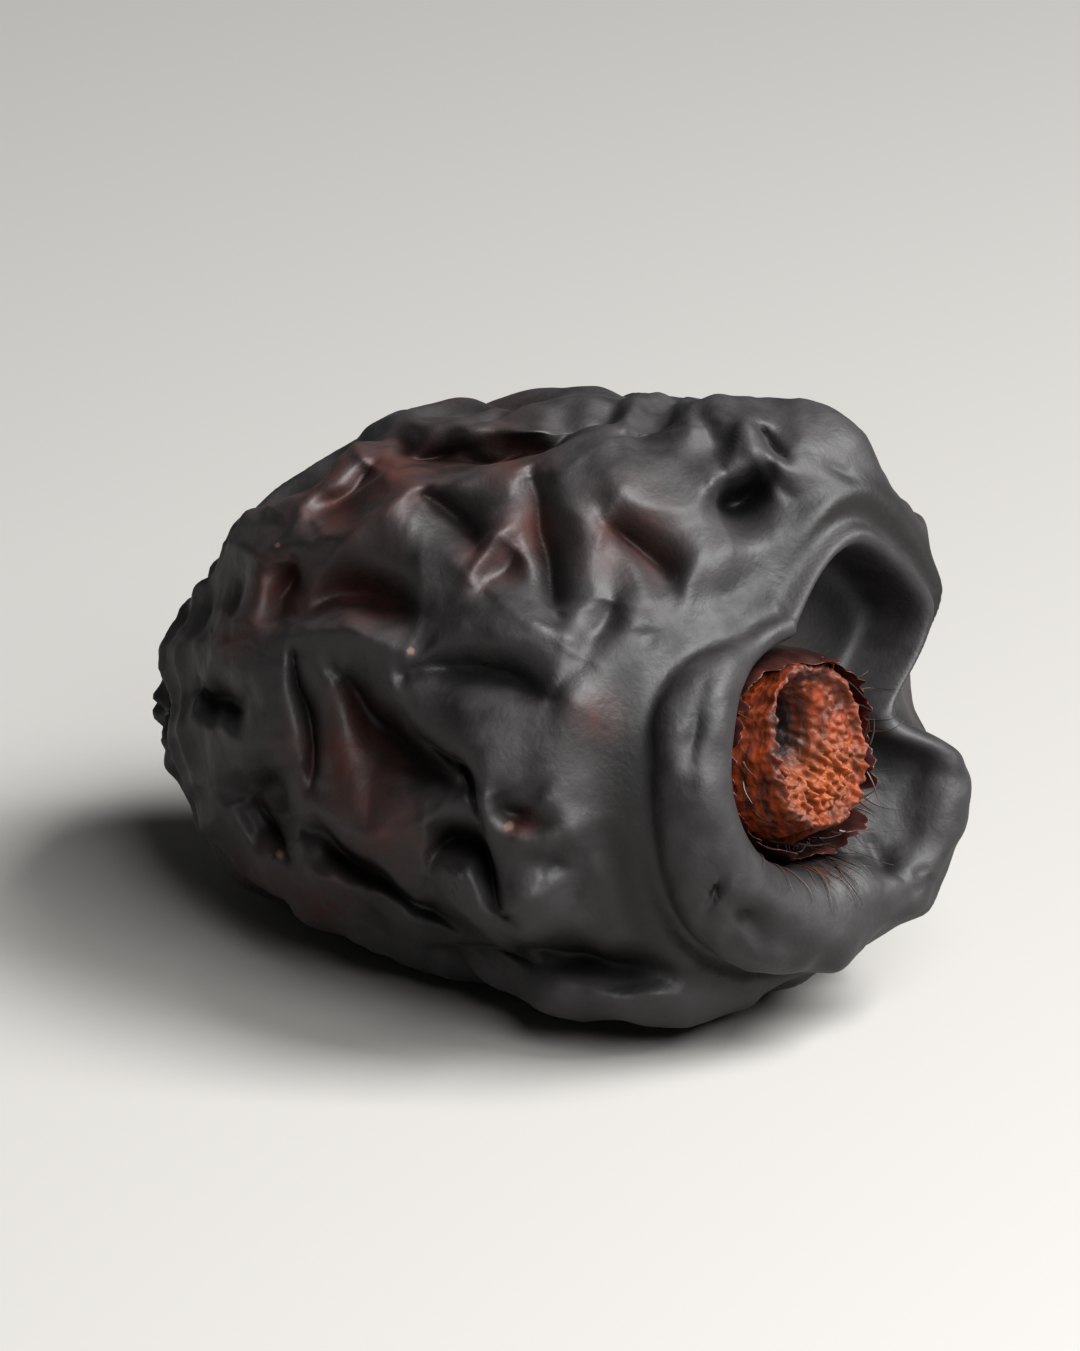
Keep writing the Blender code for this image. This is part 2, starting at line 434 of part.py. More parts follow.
def fruit_relief(points, normal, collar, folds):
    """How each place of the unwrinkled skin moves when the skin folds."""
    axes = near_axes()
    drift = 0.10 * np.column_stack([waves(points, 2.5, 11), waves(points, 2.5, 12)])
    facing = normal @ axes[2]
    near = eased(-0.05, 0.25, facing)
    body = 1.0 - collar
    facets, lean = near_facets(points @ axes[:2].T + drift)
    laid_out = near * body * folds * facets
    warped = points + FOLD_WARP * np.column_stack([waves(points, 6.0, seed) for seed in (21, 22, 23)])
    far = body * folds * (1.0 - 0.92 * near) * far_cells(warped)
    rolled = 0.16 * collar * folds * waves(points, 3.5, 31)
    clock = np.arctan2(points[:, 2] + TIP_DROOP, points[:, 1])
    from_tip = points[:, 0] - points[:, 0].min()
    puckered = np.exp(-from_tip / 2.5) * eased(0.0, 1.2, from_tip)
    pleats = 0.3 * np.cos(9.0 * clock + 1.5 * np.sin(2.0 * clock)) * puckered
    pressed = 0.3 + 0.7 * eased(0.3, 2.5, points[:, 2] + MIDDLE_HEIGHT)
    # folds laid out as seen move mostly towards the viewer, so that each stays where it was seen
    towards = 0.85 * eased(0.05, 0.40, facing)[:, None]
    way = normal * (1.0 - towards) + axes[2] * towards * 1.25
    aside = (near * body * folds)[:, None] * (lean @ axes[:2])
    moved = normal * (far + rolled + pleats)[:, None] + way * laid_out[:, None] + aside
    return moved * pressed[:, None]


def pressed_flat(points):
    """The date set on z = 0, with the skin that would reach below it pressed flat."""
    above = points[:, 2] + MIDDLE_HEIGHT
    easing = (above + REST_SOFTNESS) ** 2 / (4.0 * REST_SOFTNESS)
    z = np.where(above > REST_SOFTNESS, above, np.where(above < -REST_SOFTNESS, 0.0, easing))
    return np.column_stack([points[:, :2], z])


def ball_mesh(cells):
    """A cube of cells x cells squares a side, with each vertex pushed out to the unit sphere."""
    mesh = bmesh.new()
    bmesh.ops.create_cube(mesh, size=2.0)
    bmesh.ops.subdivide_edges(mesh, edges=mesh.edges[:], cuts=cells - 1, use_grid_fill=True)
    for vertex in mesh.verts:
        vertex.co = [math.tan(c * math.pi / 4.0) for c in vertex.co]
        vertex.co.normalize()
    return mesh


def coordinates(mesh):
    return np.array([vertex.co[:] for vertex in mesh.verts])


def normals(mesh):
    mesh.normal_update()
    return np.array([vertex.normal[:] for vertex in mesh.verts])


def place(mesh, points):
    for vertex, point in zip(mesh.verts, points):
        vertex.co = point


def fruit_mesh(cells):
    """The folded fruit, standing on z = 0."""
    mesh = ball_mesh(cells)
    skin, collar, folds = smooth_body(coordinates(mesh))
    place(mesh, skin)
    outward = normals(mesh)
    place(mesh, pressed_flat(skin + fruit_relief(skin, outward, collar, folds)))
    return mesh


def remnant_mesh(cells):
    """The stub of fibres in the socket: an uneven broken end with a hole, and streaked sides."""
    mesh = ball_mesh(cells)
    direction = coordinates(mesh)
    across, clock = round_axis(direction)
    x, radius = blended(np.array([spread_evenly(stub_outline())] * 2), clock, (1.0 - direction[:, 0]) / 2.0)
    y, z = (across * radius[:, None]).T
    end = eased(STUB_REACH - 0.8, STUB_REACH - 0.2, x)
    hole = 1.1 * np.exp(-(((y - 0.2) / 1.0) ** 2) - ((z - 0.9) / 1.0) ** 2)
    mass = 0.35 * np.exp(-(((y - 0.2) / 1.3) ** 2) - ((z + 1.2) / 1.2) ** 2)
    uneven = 0.14 * waves(np.column_stack([x, y, z]), 1.6, 41)
    x = x + end * (mass - hole + uneven - 0.2)
    side = (1.0 - end) * eased(1.0, 2.4, radius)
    streaks = np.cos(np.radians(clock) * 11.0 + 1.4 * np.sin(np.radians(clock) * 3.0))
    narrowed = 1.0 - 0.03 * side * (1.0 + streaks)
    ahead = eased(STEM_REACH - SOCKET_DEPTH + 1.0, STUB_REACH, x)
    width = 1.0 - (1.0 - STUB_END[0] / STUB_END[1]) * ahead
    points = bent(x, y * narrowed * width + STUB_ASIDE[0] * ahead, z * narrowed + STUB_ASIDE[1] * ahead)
    place(mesh, points + np.array([0.0, 0.0, MIDDLE_HEIGHT]))
    return mesh


def make_object(name, mesh, middle, material):
    """A named object from a mesh in millimetres, with that point of the mesh brought over the origin."""
    data = bpy.data.meshes.new(name)
    place(mesh, (coordinates(mesh) - middle) * METRES)
    mesh.to_mesh(data)
    mesh.free()
    data.shade_smooth()
    data.materials.append(material)
    made = bpy.data.objects.new(name, data)
    bpy.context.scene.collection.objects.link(made)
    return made


def principled(name, colour, roughness):
    material = bpy.data.materials.new(name)
    material.use_nodes = True
    shader = material.node_tree.nodes["Principled BSDF"]
    shader.inputs["Base Color"].default_value = (*colour, 1.0)
    shader.inputs["Roughness"].default_value = roughness
    shader.inputs["Metallic"].default_value = 0.0
    return material


def main():
    for old in list(bpy.data.objects):
        bpy.data.objects.remove(old)
    fruit = fruit_mesh(FRUIT_CELLS)
    points = coordinates(fruit)
    middle = (points.min(axis=0) + points.max(axis=0)) / 2.0 * np.array([1.0, 1.0, 0.0])
    make_object("fruit", fruit, middle, principled("date skin", (0.022, 0.010, 0.008), 0.38))
    remnant = remnant_mesh(REMNANT_CELLS)
    make_object("calyx_remnant", remnant, middle, principled("calyx fibre", (0.36, 0.12, 0.035), 0.6))


if __name__ == "__main__":
    main()
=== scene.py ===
# One dried ajwa date, close up: folded waxy skin, a rolled collar and the torn fibres of its calyx
import math

import bpy
import numpy as np
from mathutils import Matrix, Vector


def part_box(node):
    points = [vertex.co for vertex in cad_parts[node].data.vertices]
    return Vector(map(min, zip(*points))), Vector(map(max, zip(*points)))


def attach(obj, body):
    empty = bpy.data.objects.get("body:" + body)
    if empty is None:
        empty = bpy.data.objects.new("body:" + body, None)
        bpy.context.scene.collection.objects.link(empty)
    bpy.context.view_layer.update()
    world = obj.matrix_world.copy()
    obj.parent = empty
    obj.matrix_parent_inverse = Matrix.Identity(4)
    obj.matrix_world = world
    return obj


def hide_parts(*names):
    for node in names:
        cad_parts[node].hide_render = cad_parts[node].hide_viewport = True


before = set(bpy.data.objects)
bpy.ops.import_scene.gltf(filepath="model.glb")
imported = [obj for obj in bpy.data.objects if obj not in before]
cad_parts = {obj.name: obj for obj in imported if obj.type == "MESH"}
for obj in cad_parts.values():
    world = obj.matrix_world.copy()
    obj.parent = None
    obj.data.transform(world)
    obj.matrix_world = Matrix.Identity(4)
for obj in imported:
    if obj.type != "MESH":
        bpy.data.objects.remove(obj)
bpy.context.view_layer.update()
mm = 0.001

# the size and form of the fruit, in millimetres and degrees, as in the solid that it stands for
fruitShape = {
    "tipReach": 15.4,
    "stemReach": 14.2,
    "bodyRadius": 10.8,
    "widthShare": 1.03,
    "heightShare": 0.97,
    "tipDroop": 3.1,
    "stemFullness": 2.7,
    "tipFullness": 1.72,
    "collarRoll": 1.8,
    "collarTurn": -8.0,
    "collarPitch": 10.0,
    "collarShift": (-1.2, -1.2),
    "turnStart": 2.0,
    "lipReach": 11.0,
    "lipGap": 0.45,
    "shoulderReach": 13.7,
    "socketRadius": 3.9,
    "socketDepth": 4.2,
    "middleHeight": 9.8,
    "restSoftness": 0.25,
    "cells": 128,  # squares along a side of the cube that becomes the skin
}

# the mouth at the stem end. Angles go round the date, 0 to the right as seen from the stem end and
# 90 on top. A form fades in between the first two angles and out between the last two
mouthShape = {
    "thin": ((-16.0, 2.0), (160.0, 108.0)),
    "thinning": 0.74,
    "thinRise": 1.1,
    "pocket": ((3.0, 28.0), (90.0, 56.0)),
    "pocketReach": 3.5,
    "cup": ((-78.0, -40.0), (-4.0, -22.0)),
    "cupDepth": 0.85,
    "cupStart": 11.5,
    "cupFolds": 0.8,
    "left": (170.0, 75.0),  # middle and spread
    "leftWiden": 0.25,
    "leftThinning": 0.24,
    "bottom": (270.0, 100.0),
    "bottomThickening": 0.06,
    "corner": (315.0, 40.0),
    "cornerReach": 0.4,
}

# swells of the body: height, middle and spread round the date, place and length along it
bodySwells = ((2.0, 62.0, 60.0, 8.0, 3.0), (-0.9, 88.0, 75.0, -2.5, 5.0))

# folds of the near side, as seen from its front quarter: height, spread, points (right, up)
# and, where a fold leans over, how far it leans
nearRidges = (
    (1.00, 0.7, ((-6.0, 8.8), (-5.5, 8.9), (-4.0, 8.8), (-2.0, 8.9), (0.0, 9.1), (1.5, 9.5),
                 (3.3, 9.9), (4.2, 10.1)), (0.0, -0.7)),
    (0.95, 0.9, ((-9.5, 4.5), (-8.0, 4.75), (-6.8, 4.9), (-5.5, 5.8), (-4.6, 6.5), (-3.5, 6.55),
                 (-2.2, 6.8), (0.0, 7.7), (2.0, 8.5), (3.0, 9.1), (4.0, 9.9))),
    (1.05, 1.1, ((-9.4, 4.6), (-8.6, 5.6), (-7.5, 6.8), (-6.8, 7.6), (-6.2, 8.5), (-5.9, 8.9))),
    (0.55, 0.8, ((-10.6, 5.2), (-10.0, 6.2), (-9.0, 7.2), (-8.0, 7.8), (-7.0, 8.3), (-6.2, 8.8))),
    (0.70, 1.0, ((-9.5, 4.5), (-9.9, 3.2), (-10.2, 2.2), (-10.8, 2.0), (-11.4, 1.5),
                 (-11.6, 0.8), (-11.3, 0.1))),
    (0.70, 1.2, ((-11.3, 0.1), (-10.5, 0.1), (-9.4, 0.8), (-8.5, 1.1), (-7.5, 1.25),
                 (-6.5, 1.15), (-5.5, 0.8), (-4.2, 0.4)), (0.0, 0.3)),
    (0.45, 1.4, ((-6.8, 4.9), (-5.5, 3.8), (-4.3, 2.8), (-3.6, 2.3))),
    (0.40, 0.9, ((-1.4, 6.3), (-1.7, 5.2), (-2.0, 4.3), (-2.8, 3.4), (-3.8, 2.2))),
    (0.45, 1.5, ((-3.8, 2.2), (-3.0, 1.5), (-2.0, 1.3), (-1.0, 1.3), (0.2, 1.1))),
    (0.30, 1.6, ((0.9, 7.4), (0.7, 6.0), (0.9, 4.5), (1.3, 3.0), (0.8, 1.6), (0.3, 0.6))),
    (0.75, 1.2, ((3.8, 10.1), (4.5, 9.8), (5.5, 9.1), (6.3, 8.5), (7.2, 7.8), (8.2, 7.4))),
    (0.50, 1.0, ((1.7, 7.9), (1.8, 7.2), (2.2, 6.4), (3.0, 5.9), (4.0, 5.8), (5.0, 5.9))),
    (0.60, 0.9, ((5.0, 5.9), (5.5, 6.5), (6.3, 7.1), (7.2, 7.5), (8.4, 7.0), (9.6, 6.7),
                 (10.5, 6.0), (12.0, 5.8))),
    (0.35, 0.8, ((6.2, 9.8), (6.9, 9.4), (8.0, 9.0), (9.2, 8.2), (10.2, 7.4), (11.2, 6.8))),
    (0.65, 1.2, ((5.0, 3.6), (6.2, 3.6), (7.5, 3.9), (8.6, 3.9))),
    (0.40, 0.9, ((9.9, 6.5), (10.3, 5.4), (10.2, 4.6), (9.9, 4.0))),
    (0.40, 1.3, ((4.6, 5.4), (4.9, 4.2), (4.7, 3.0), (4.2, 1.6), (3.7, 0.2), (3.2, -1.8))),
    (0.25, 1.5, ((2.7, 3.4), (2.9, 2.0), (2.6, 0.6), (2.4, 0.1))),
    (0.60, 0.8, ((0.0, -0.4), (1.0, -1.1), (2.0, -1.7), (3.0, -2.0))),
    (0.80, 1.0, ((-9.3, 0.9), (-9.2, 0.0), (-9.1, -1.0), (-8.95, -2.0), (-8.8, -3.0),
                 (-8.9, -4.2)), (0.3, 0.0)),
    (0.80, 1.3, ((-9.0, -4.2), (-8.3, -4.4), (-7.3, -4.5), (-6.5, -4.9), (-6.0, -5.1),
                 (-5.4, -4.6), (-4.9, -4.3), (-4.2, -4.2)), (-0.1, -0.4)),
    (0.80, 1.1, ((-5.2, -0.4), (-4.5, -1.5), (-3.8, -2.0), (-2.8, -2.4), (-2.1, -3.0),
                 (-1.9, -4.0), (-1.9, -5.0), (-1.7, -6.2), (-1.2, -7.2), (-0.7, -8.4)),
     (-0.4, -0.3)),
    (0.55, 0.7, ((-4.3, -4.2), (-4.2, -5.4), (-4.4, -6.6), (-4.7, -7.3))),
    (0.55, 0.7, ((-6.6, -5.2), (-5.9, -6.0), (-5.3, -6.8), (-4.7, -7.3))),
    (0.60, 0.9, ((-3.9, -6.3), (-3.2, -6.6), (-2.5, -7.4), (-1.9, -8.5))),
    (0.60, 0.8, ((-9.4, -6.6), (-8.6, -6.8), (-7.4, -6.8), (-6.8, -7.6), (-6.8, -9.2))),
    (0.50, 0.7, ((-9.3, -6.8), (-8.7, -7.9), (-7.8, -9.1), (-6.9, -9.3))),
    (0.45, 0.6, ((-6.1, -7.4), (-5.3, -7.8), (-4.4, -8.5))),
    (0.60, 0.7, ((-12.0, -3.6), (-11.2, -4.6), (-10.5, -5.6), (-9.8, -6.3), (-9.3, -7.0),
                 (-9.0, -8.0))),
    (0.50, 0.6, ((-11.0, -6.6), (-11.0, -7.4), (-10.8, -8.1))),
    (0.50, 0.6, ((-12.2, -1.9), (-11.4, -1.9), (-10.6, -2.3), (-9.6, -2.3), (-9.1, -2.0))),
    (0.50, 0.6, ((-10.2, 0.4), (-9.9, -0.6), (-9.9, -1.6), (-10.4, -2.3), (-10.8, -3.1))),
    (0.55, 0.8, ((-13.2, 1.7), (-12.0, 3.0), (-11.0, 3.9), (-10.2, 4.6), (-9.5, 4.5))),
    (0.45, 0.6, ((-13.9, 0.4), (-12.8, 1.0), (-11.7, 1.2), (-11.4, 1.5))),
    (0.80, 0.8, ((-5.4, -10.4), (-3.0, -10.5), (0.0, -10.9), (3.0, -11.1), (4.5, -10.9),
                 (5.5, -10.0)), (0.0, 0.3)),
    (0.55, 0.8, ((-1.8, -4.2), (-1.4, -5.2), (-0.5, -5.6), (0.8, -5.1), (1.8, -4.8), (2.7, -5.0))),
    (0.35, 0.8, ((0.2, -6.6), (1.2, -6.4), (1.9, -7.2), (2.2, -8.6))),
    (0.30, 0.7, ((-1.0, -3.4), (0.4, -3.1), (1.8, -2.9), (2.9, -3.0))),
)

# furrows between those folds: depth, half width, then points
nearFurrows = (
    (2.20, 0.60, ((-6.1, 8.2), (-4.5, 7.9), (-3.0, 7.8), (-1.0, 8.1), (1.0, 8.7), (3.0, 9.5))),
    (1.20, 0.80, ((-5.8, 7.3), (-4.0, 7.3), (-2.0, 7.5), (0.0, 8.1))),
    (1.20, 0.45, ((-8.3, 5.2), (-7.6, 5.9), (-6.9, 6.6), (-6.2, 7.5))),
    (1.00, 0.35, ((-5.2, 9.45), (-3.5, 9.4), (-1.5, 9.6), (0.5, 10.0), (2.0, 10.4))),
    (1.30, 0.55, ((-9.8, 5.6), (-8.8, 6.6), (-7.8, 7.4), (-6.8, 8.2))),
    (1.00, 0.40, ((-9.1, 3.9), (-9.3, 2.8), (-9.4, 1.6))),
    (1.70, 0.95, ((-9.0, 2.0), (-7.8, 2.5), (-6.6, 2.7), (-5.2, 2.5), (-4.4, 2.4))),
    (0.60, 0.35, ((-4.3, 6.1), (-3.4, 5.6), (-2.8, 5.0), (-2.5, 4.3))),
    (0.40, 0.40, ((-1.3, 4.4), (-1.7, 3.5), (-2.2, 2.8))),
    (0.80, 0.45, ((-0.7, 6.9), (-0.5, 5.6), (-0.2, 4.2), (0.0, 2.9), (0.1, 2.1))),
    (0.80, 0.40, ((2.4, 8.2), (3.3, 8.4), (3.9, 8.7), (4.4, 9.3))),
    (0.45, 0.70, ((4.8, 8.8), (5.6, 8.1), (6.2, 7.8))),
    (2.00, 0.55, ((5.6, 5.9), (6.3, 6.1), (7.2, 6.8))),
    (0.80, 0.70, ((7.4, 6.5), (8.5, 6.0), (9.3, 5.2), (9.5, 4.3), (9.0, 3.4))),
    (0.70, 0.30, ((5.9, 2.7), (7.0, 2.7), (8.0, 2.9), (8.8, 3.3))),
    (0.80, 0.65, ((1.6, 5.1), (2.6, 4.6), (3.6, 3.8), (4.2, 2.8))),
    (0.30, 0.60, ((2.0, 2.7), (1.7, 1.6), (1.2, 0.5))),
    (0.40, 0.60, ((3.3, 1.6), (3.3, 0.6))),
    (0.80, 0.25, ((-8.95, 0.4), (-8.8, -1.0), (-8.55, -2.4), (-8.3, -3.7))),
    (1.90, 0.75, ((-7.6, 0.2), (-6.6, -0.7), (-5.8, -1.6), (-4.8, -2.5), (-3.9, -3.1),
                 (-3.0, -3.6))),
    (0.90, 0.25, ((-4.9, -1.4), (-4.3, -2.1), (-3.4, -2.5), (-2.7, -2.9), (-2.45, -3.8),
                 (-2.4, -5.0))),
    (0.60, 0.40, ((-4.8, 0.0), (-3.5, 0.3), (-2.5, 0.2), (-1.0, -0.2), (0.0, -0.6))),
    (1.80, 0.45, ((-4.3, -6.9), (-3.9, -5.8), (-3.0, -5.5), (-2.3, -5.8), (-1.9, -6.8),
                 (-1.4, -8.0))),
    (2.20, 0.65, ((-9.0, -4.9), (-7.8, -5.2), (-6.9, -6.1), (-5.9, -7.0), (-4.8, -7.7),
                 (-3.6, -8.3), (-2.0, -9.2))),
    (2.00, 0.80, ((-9.8, -3.0), (-9.6, -3.9), (-9.4, -4.9))),
    (1.40, 0.45, ((-10.8, -4.2), (-9.9, -5.4), (-9.2, -6.1))),
    (1.40, 0.50, ((-12.3, -0.6), (-11.6, -0.9), (-11.0, -1.0), (-10.4, -0.9))),
    (0.60, 0.35, ((-9.3, -7.3), (-9.0, -8.4), (-8.0, -9.6))),
    (0.60, 0.40, ((-10.2, -7.7), (-10.0, -8.8), (-9.0, -9.6))),
    (0.60, 0.40, ((-7.0, -7.2), (-6.4, -8.0), (-5.6, -8.8))),
    (1.40, 0.50, ((-4.0, -9.5), (-1.5, -9.7), (1.0, -9.8), (3.0, -9.9), (4.4, -9.7))),
    (1.50, 0.40, ((2.0, -5.4), (2.5, -6.3), (2.8, -7.6), (3.3, -8.7))),
    (0.45, 0.60, ((-0.3, -6.2), (0.5, -6.4), (1.2, -6.0))),
    (0.50, 0.40, ((-1.6, -3.6), (-1.3, -4.4), (-0.6, -4.9))),
    (0.40, 0.50, ((-11.0, 4.6), (-11.9, 2.9), (-12.6, 1.2))),
    (0.50, 0.40, ((-10.5, 3.6), (-11.0, 2.7), (-11.3, 2.1))),
    (0.25, 0.20, ((6.1, 9.9), (6.6, 9.4), (7.4, 9.2), (8.4, 9.3))),
    (0.25, 0.20, ((7.0, 8.3), (7.9, 7.5))),
    (0.25, 0.18, ((9.7, 7.1), (10.8, 6.4), (11.9, 6.1))),
)

# creases and pits in the rolled collar, in the same way
collarFurrows = (
    (0.30, 0.16, ((9.6, -5.6), (10.6, -6.4), (11.8, -7.4))),
    (0.30, 0.16, ((10.4, -5.3), (11.4, -6.2), (12.4, -7.3))),
    (0.30, 0.15, ((8.9, -6.0), (9.2, -7.0), (9.4, -7.9))),
    (0.25, 0.15, ((8.3, -6.0), (8.2, -6.9), (8.0, -7.6))),
    (0.25, 0.15, ((7.5, -5.6), (7.2, -6.4), (6.9, -7.0))),
    (0.45, 0.50, ((10.6, -6.5), (11.1, -6.8), (11.7, -6.9))),
    (0.30, 0.40, ((5.3, -7.4), (5.7, -7.6))),
    (0.35, 0.70, ((6.4, -8.9), (7.2, -8.2), (7.8, -7.6))),
    (0.20, 0.25, ((12.4, -6.9), (13.2, -6.6))),
    (0.20, 0.25, ((11.8, -7.7), (12.8, -7.4), (13.4, -6.9))),
    (0.18, 0.30, ((5.2, 0.0), (4.7, -2.0), (4.6, -4.4))),
)

# where those folds were seen from, and how they shape the skin between them
nearView = {
    "azimuth": 36.0,
    "elevation": 20.0,
    "lift": 2.6,  # a ridge's rise, times its height
    "rounding": 0.48,  # of its crest, times its spread
    "wide": 1.7,  # its reach, times its spread
    "floor": 0.35,  # a furrow's least depth
    "sink": 1.4,  # and what is added to it, times its depth
    "open": 1.6,  # its reach, times its width
    "sunk": 0.45,  # where the skin settles far from both
    "slack": 0.035,
}

# where the near side's skin is thin enough to look red-brown: (right, up) and radius
thinPlaces = (
    ((-5.2, 7.2), 1.6), ((-1.5, 7.6), 1.2), ((-8.2, 6.8), 1.6), ((-7.0, 5.6), 1.0),
    ((-9.6, 3.0), 1.2), ((-6.5, 2.8), 1.3), ((-7.3, -2.6), 1.9), ((-5.4, -5.2), 1.2),
    ((2.6, 4.8), 1.3), ((1.5, -1.4), 0.8), ((-2.2, 3.9), 0.9), ((-10.3, -7.0), 1.1),
    ((-8.0, -7.8), 1.2), ((-0.8, -5.0), 0.5), ((-11.0, 1.2), 0.9), ((-0.8, 5.0), 0.8),
)

# tiny flecks where the skin is chipped: (right, up) and radius
fleckPlaces = (
    ((-13.55, -0.15), 0.22), ((-4.6, 0.75), 0.18), ((-9.5, 4.5), 0.13), ((-1.2, -5.0), 0.20),
    ((-9.4, -6.2), 0.16),
)

# folds all over the rest of the body, which wander off its length by some degrees
farFolds = {"seed": 5, "count": 62, "length": 3.8, "width": 1.9, "wander": 28.0,
            "depth": (0.6, 1.9), "rounding": 0.35, "crest": 0.7, "rise": 0.45, "warp": 0.8}


def eased(low, high, value):
    share = np.clip((value - low) / (high - low), 0.0, 1.0)
    return share * share * (3.0 - 2.0 * share)


def unit(rows):
    return rows / np.linalg.norm(rows, axis=1)[:, None]


def sideShare(clock, centre, spread):
    away = np.abs((clock - centre + 180.0) % 360.0 - 180.0)
    return 1.0 - eased(0.0, spread, away)


def evened(rows, count=900, passes=20):
    line = np.array(rows)
    step = np.concatenate([[0.0], np.cumsum(np.hypot(*np.diff(line[:, :2], axis=0).T))])
    even = np.linspace(0.0, step[-1], count)
    line = np.column_stack([np.interp(even, step, column) for column in line.T])
    for _ in range(passes):
        line[1:-1] += 0.5 * (0.5 * (line[:-2] + line[2:]) - line[1:-1])
    return line


def between(fades, clock):
    rising, falling = fades
    return eased(*rising, clock) * eased(*falling, clock)


def fruitOutline(clock):
    # rows of x, radius, share of collar and share of folds, from the socket's floor to the tip
    s, m = fruitShape, mouthShape
    past = (clock + 90.0) % 360.0 - 90.0
    thin, pocket, cup = (between(m[form], past) for form in ("thin", "pocket", "cup"))
    left = sideShare(clock, *m["left"])
    socket = s["socketRadius"] + m["pocketReach"] * pocket + m["leftWiden"] * left
    thickness = 1.0 + m["bottomThickening"] * sideShare(clock, *m["bottom"])
    thickness -= m["thinning"] * thin + m["leftThinning"] * left * (1.0 - thin)
    roll = s["collarRoll"] * thickness
    outer = socket + 2.0 * roll + m["cornerReach"] * sideShare(clock, *m["corner"])
    roll -= m["cupDepth"] * cup
    rollX = s["stemReach"] - m["thinRise"] * thin - roll
    rollRadius = outer - roll
    floorX = s["stemReach"] - s["socketDepth"]
    wallTop = max(rollX - 0.3, floorX + 0.5)
    floor = [(floorX, r, 1.0, 0.0) for r in np.linspace(0.0, socket - 0.3, 16)]
    wall = []
    for x in np.linspace(floorX + 0.3, wallTop, 24):
        flare = max(0.0, (x - m["cupStart"]) / (wallTop - m["cupStart"])) ** 0.6
        radius = socket + (rollRadius - roll - socket) * flare
        wall.append((x, radius, 1.0, m["cupFolds"] * cup * flare))
    turned = np.radians(np.linspace(-80.0, 140.0, 60))
    smooth = np.maximum(eased(1.3, 0.4, np.abs(turned - 1.0)), m["cupFolds"] * cup * (turned < 1.0))
    smooth *= 1.0 - thin
    crest = [(rollX + roll * math.cos(t), rollRadius + roll * math.sin(t), 1.0, g)
             for t, g in zip(turned, smooth)]
    lipX = s["lipReach"] + 0.9 * thin + 0.7 * pocket
    gap = s["lipGap"] * (1.0 - 0.5 * thin)
    lipRadius = outer + gap + 0.35 * thin
    aside = (lipX - rollX, lipRadius - rollRadius)
    clear = roll + gap
    tangent = math.atan2(aside[1], aside[0]) + math.acos(min(1.0, clear / math.hypot(*aside)))
    back = np.linspace(math.radians(135.0), min(tangent, math.radians(134.0)), 12)
    groove = [(rollX + clear * math.cos(t), rollRadius + clear * math.sin(t), 0.5, 0.0)
              for t in back]
    angle = np.linspace(math.acos(s["lipReach"] / s["shoulderReach"]), math.pi, 160)
    ahead = -np.cos(angle)
    reach = np.where(ahead < 0.0, s["shoulderReach"], s["tipReach"])
    fullness = np.where(ahead < 0.0, s["stemFullness"], s["tipFullness"])
    radius = s["bodyRadius"] * (1.0 - np.abs(ahead) ** fullness) ** (1.0 / fullness)
    x = -ahead * reach
    radius += (lipRadius - radius[0]) * eased(5.0, s["lipReach"], x) ** 1.5
    for height, middle, spread, place, length in bodySwells:
        radius += height * sideShare(clock, middle, spread) * np.exp(-(((x - place) / length) ** 2))
    x += (lipX - s["lipReach"]) * eased(2.0, s["lipReach"], x)
    folds = eased(0.0, 0.22, angle - angle[0])
    flank = list(zip(x, radius, np.zeros(len(x)), folds))
    return evened([*floor, *wall, *crest, *groove, *flank], passes=80)


def spreadEvenly(line, count=600):
    step = np.hypot(*np.diff(line[:, :2], axis=0).T)
    area = np.concatenate([[0.0], np.cumsum(0.5 * (line[1:, 1] + line[:-1, 1]) * step)])
    even = np.linspace(0.0, area[-1], count)
    return np.column_stack([np.interp(even, area, column) for column in line.T])


def blended(table, clock, share):
    turn = (clock + 180.0) / 360.0 * (len(table) - 1)
    step = share * (table.shape[1] - 1)
    a = np.minimum(turn.astype(int), len(table) - 2)
    b = np.minimum(step.astype(int), table.shape[1] - 2)
    u, v = (turn - a)[:, None], (step - b)[:, None]
    near = table[a, b] * (1.0 - v) + table[a, b + 1] * v
    return (near * (1.0 - u) + (table[a + 1, b] * (1.0 - v) + table[a + 1, b + 1] * v) * u).T


def roundAxis(direction):
    across = direction[:, 1:] / np.maximum(np.linalg.norm(direction[:, 1:], axis=1), 1e-9)[:, None]
    return across, np.degrees(np.arctan2(across[:, 1], across[:, 0]))


def bent(x, y, z):
    # the stem end, with what stands in it, is turned, tipped and set off the axis
    s = fruitShape
    share = eased(1.0, 9.8, x)
    ahead = x - s["turnStart"]
    pitch = np.radians(s["collarPitch"]) * share
    ahead, z = ahead * np.cos(pitch) - z * np.sin(pitch), ahead * np.sin(pitch) + z * np.cos(pitch)
    turn = np.radians(s["collarTurn"]) * share
    ahead, y = ahead * np.cos(turn) - y * np.sin(turn), ahead * np.sin(turn) + y * np.cos(turn)
    shiftY, shiftZ = s["collarShift"]
    return np.column_stack([s["turnStart"] + ahead, y + shiftY * share, z + shiftZ * share])


outlineTable = np.array([spreadEvenly(fruitOutline(clock))
                         for clock in np.linspace(-180.0, 180.0, 433)])
rowsPerDegree = (len(outlineTable) - 1) / 360.0


def outlineRow(clock):
    return np.round((clock + 180.0) % 360.0 * rowsPerDegree).astype(int)


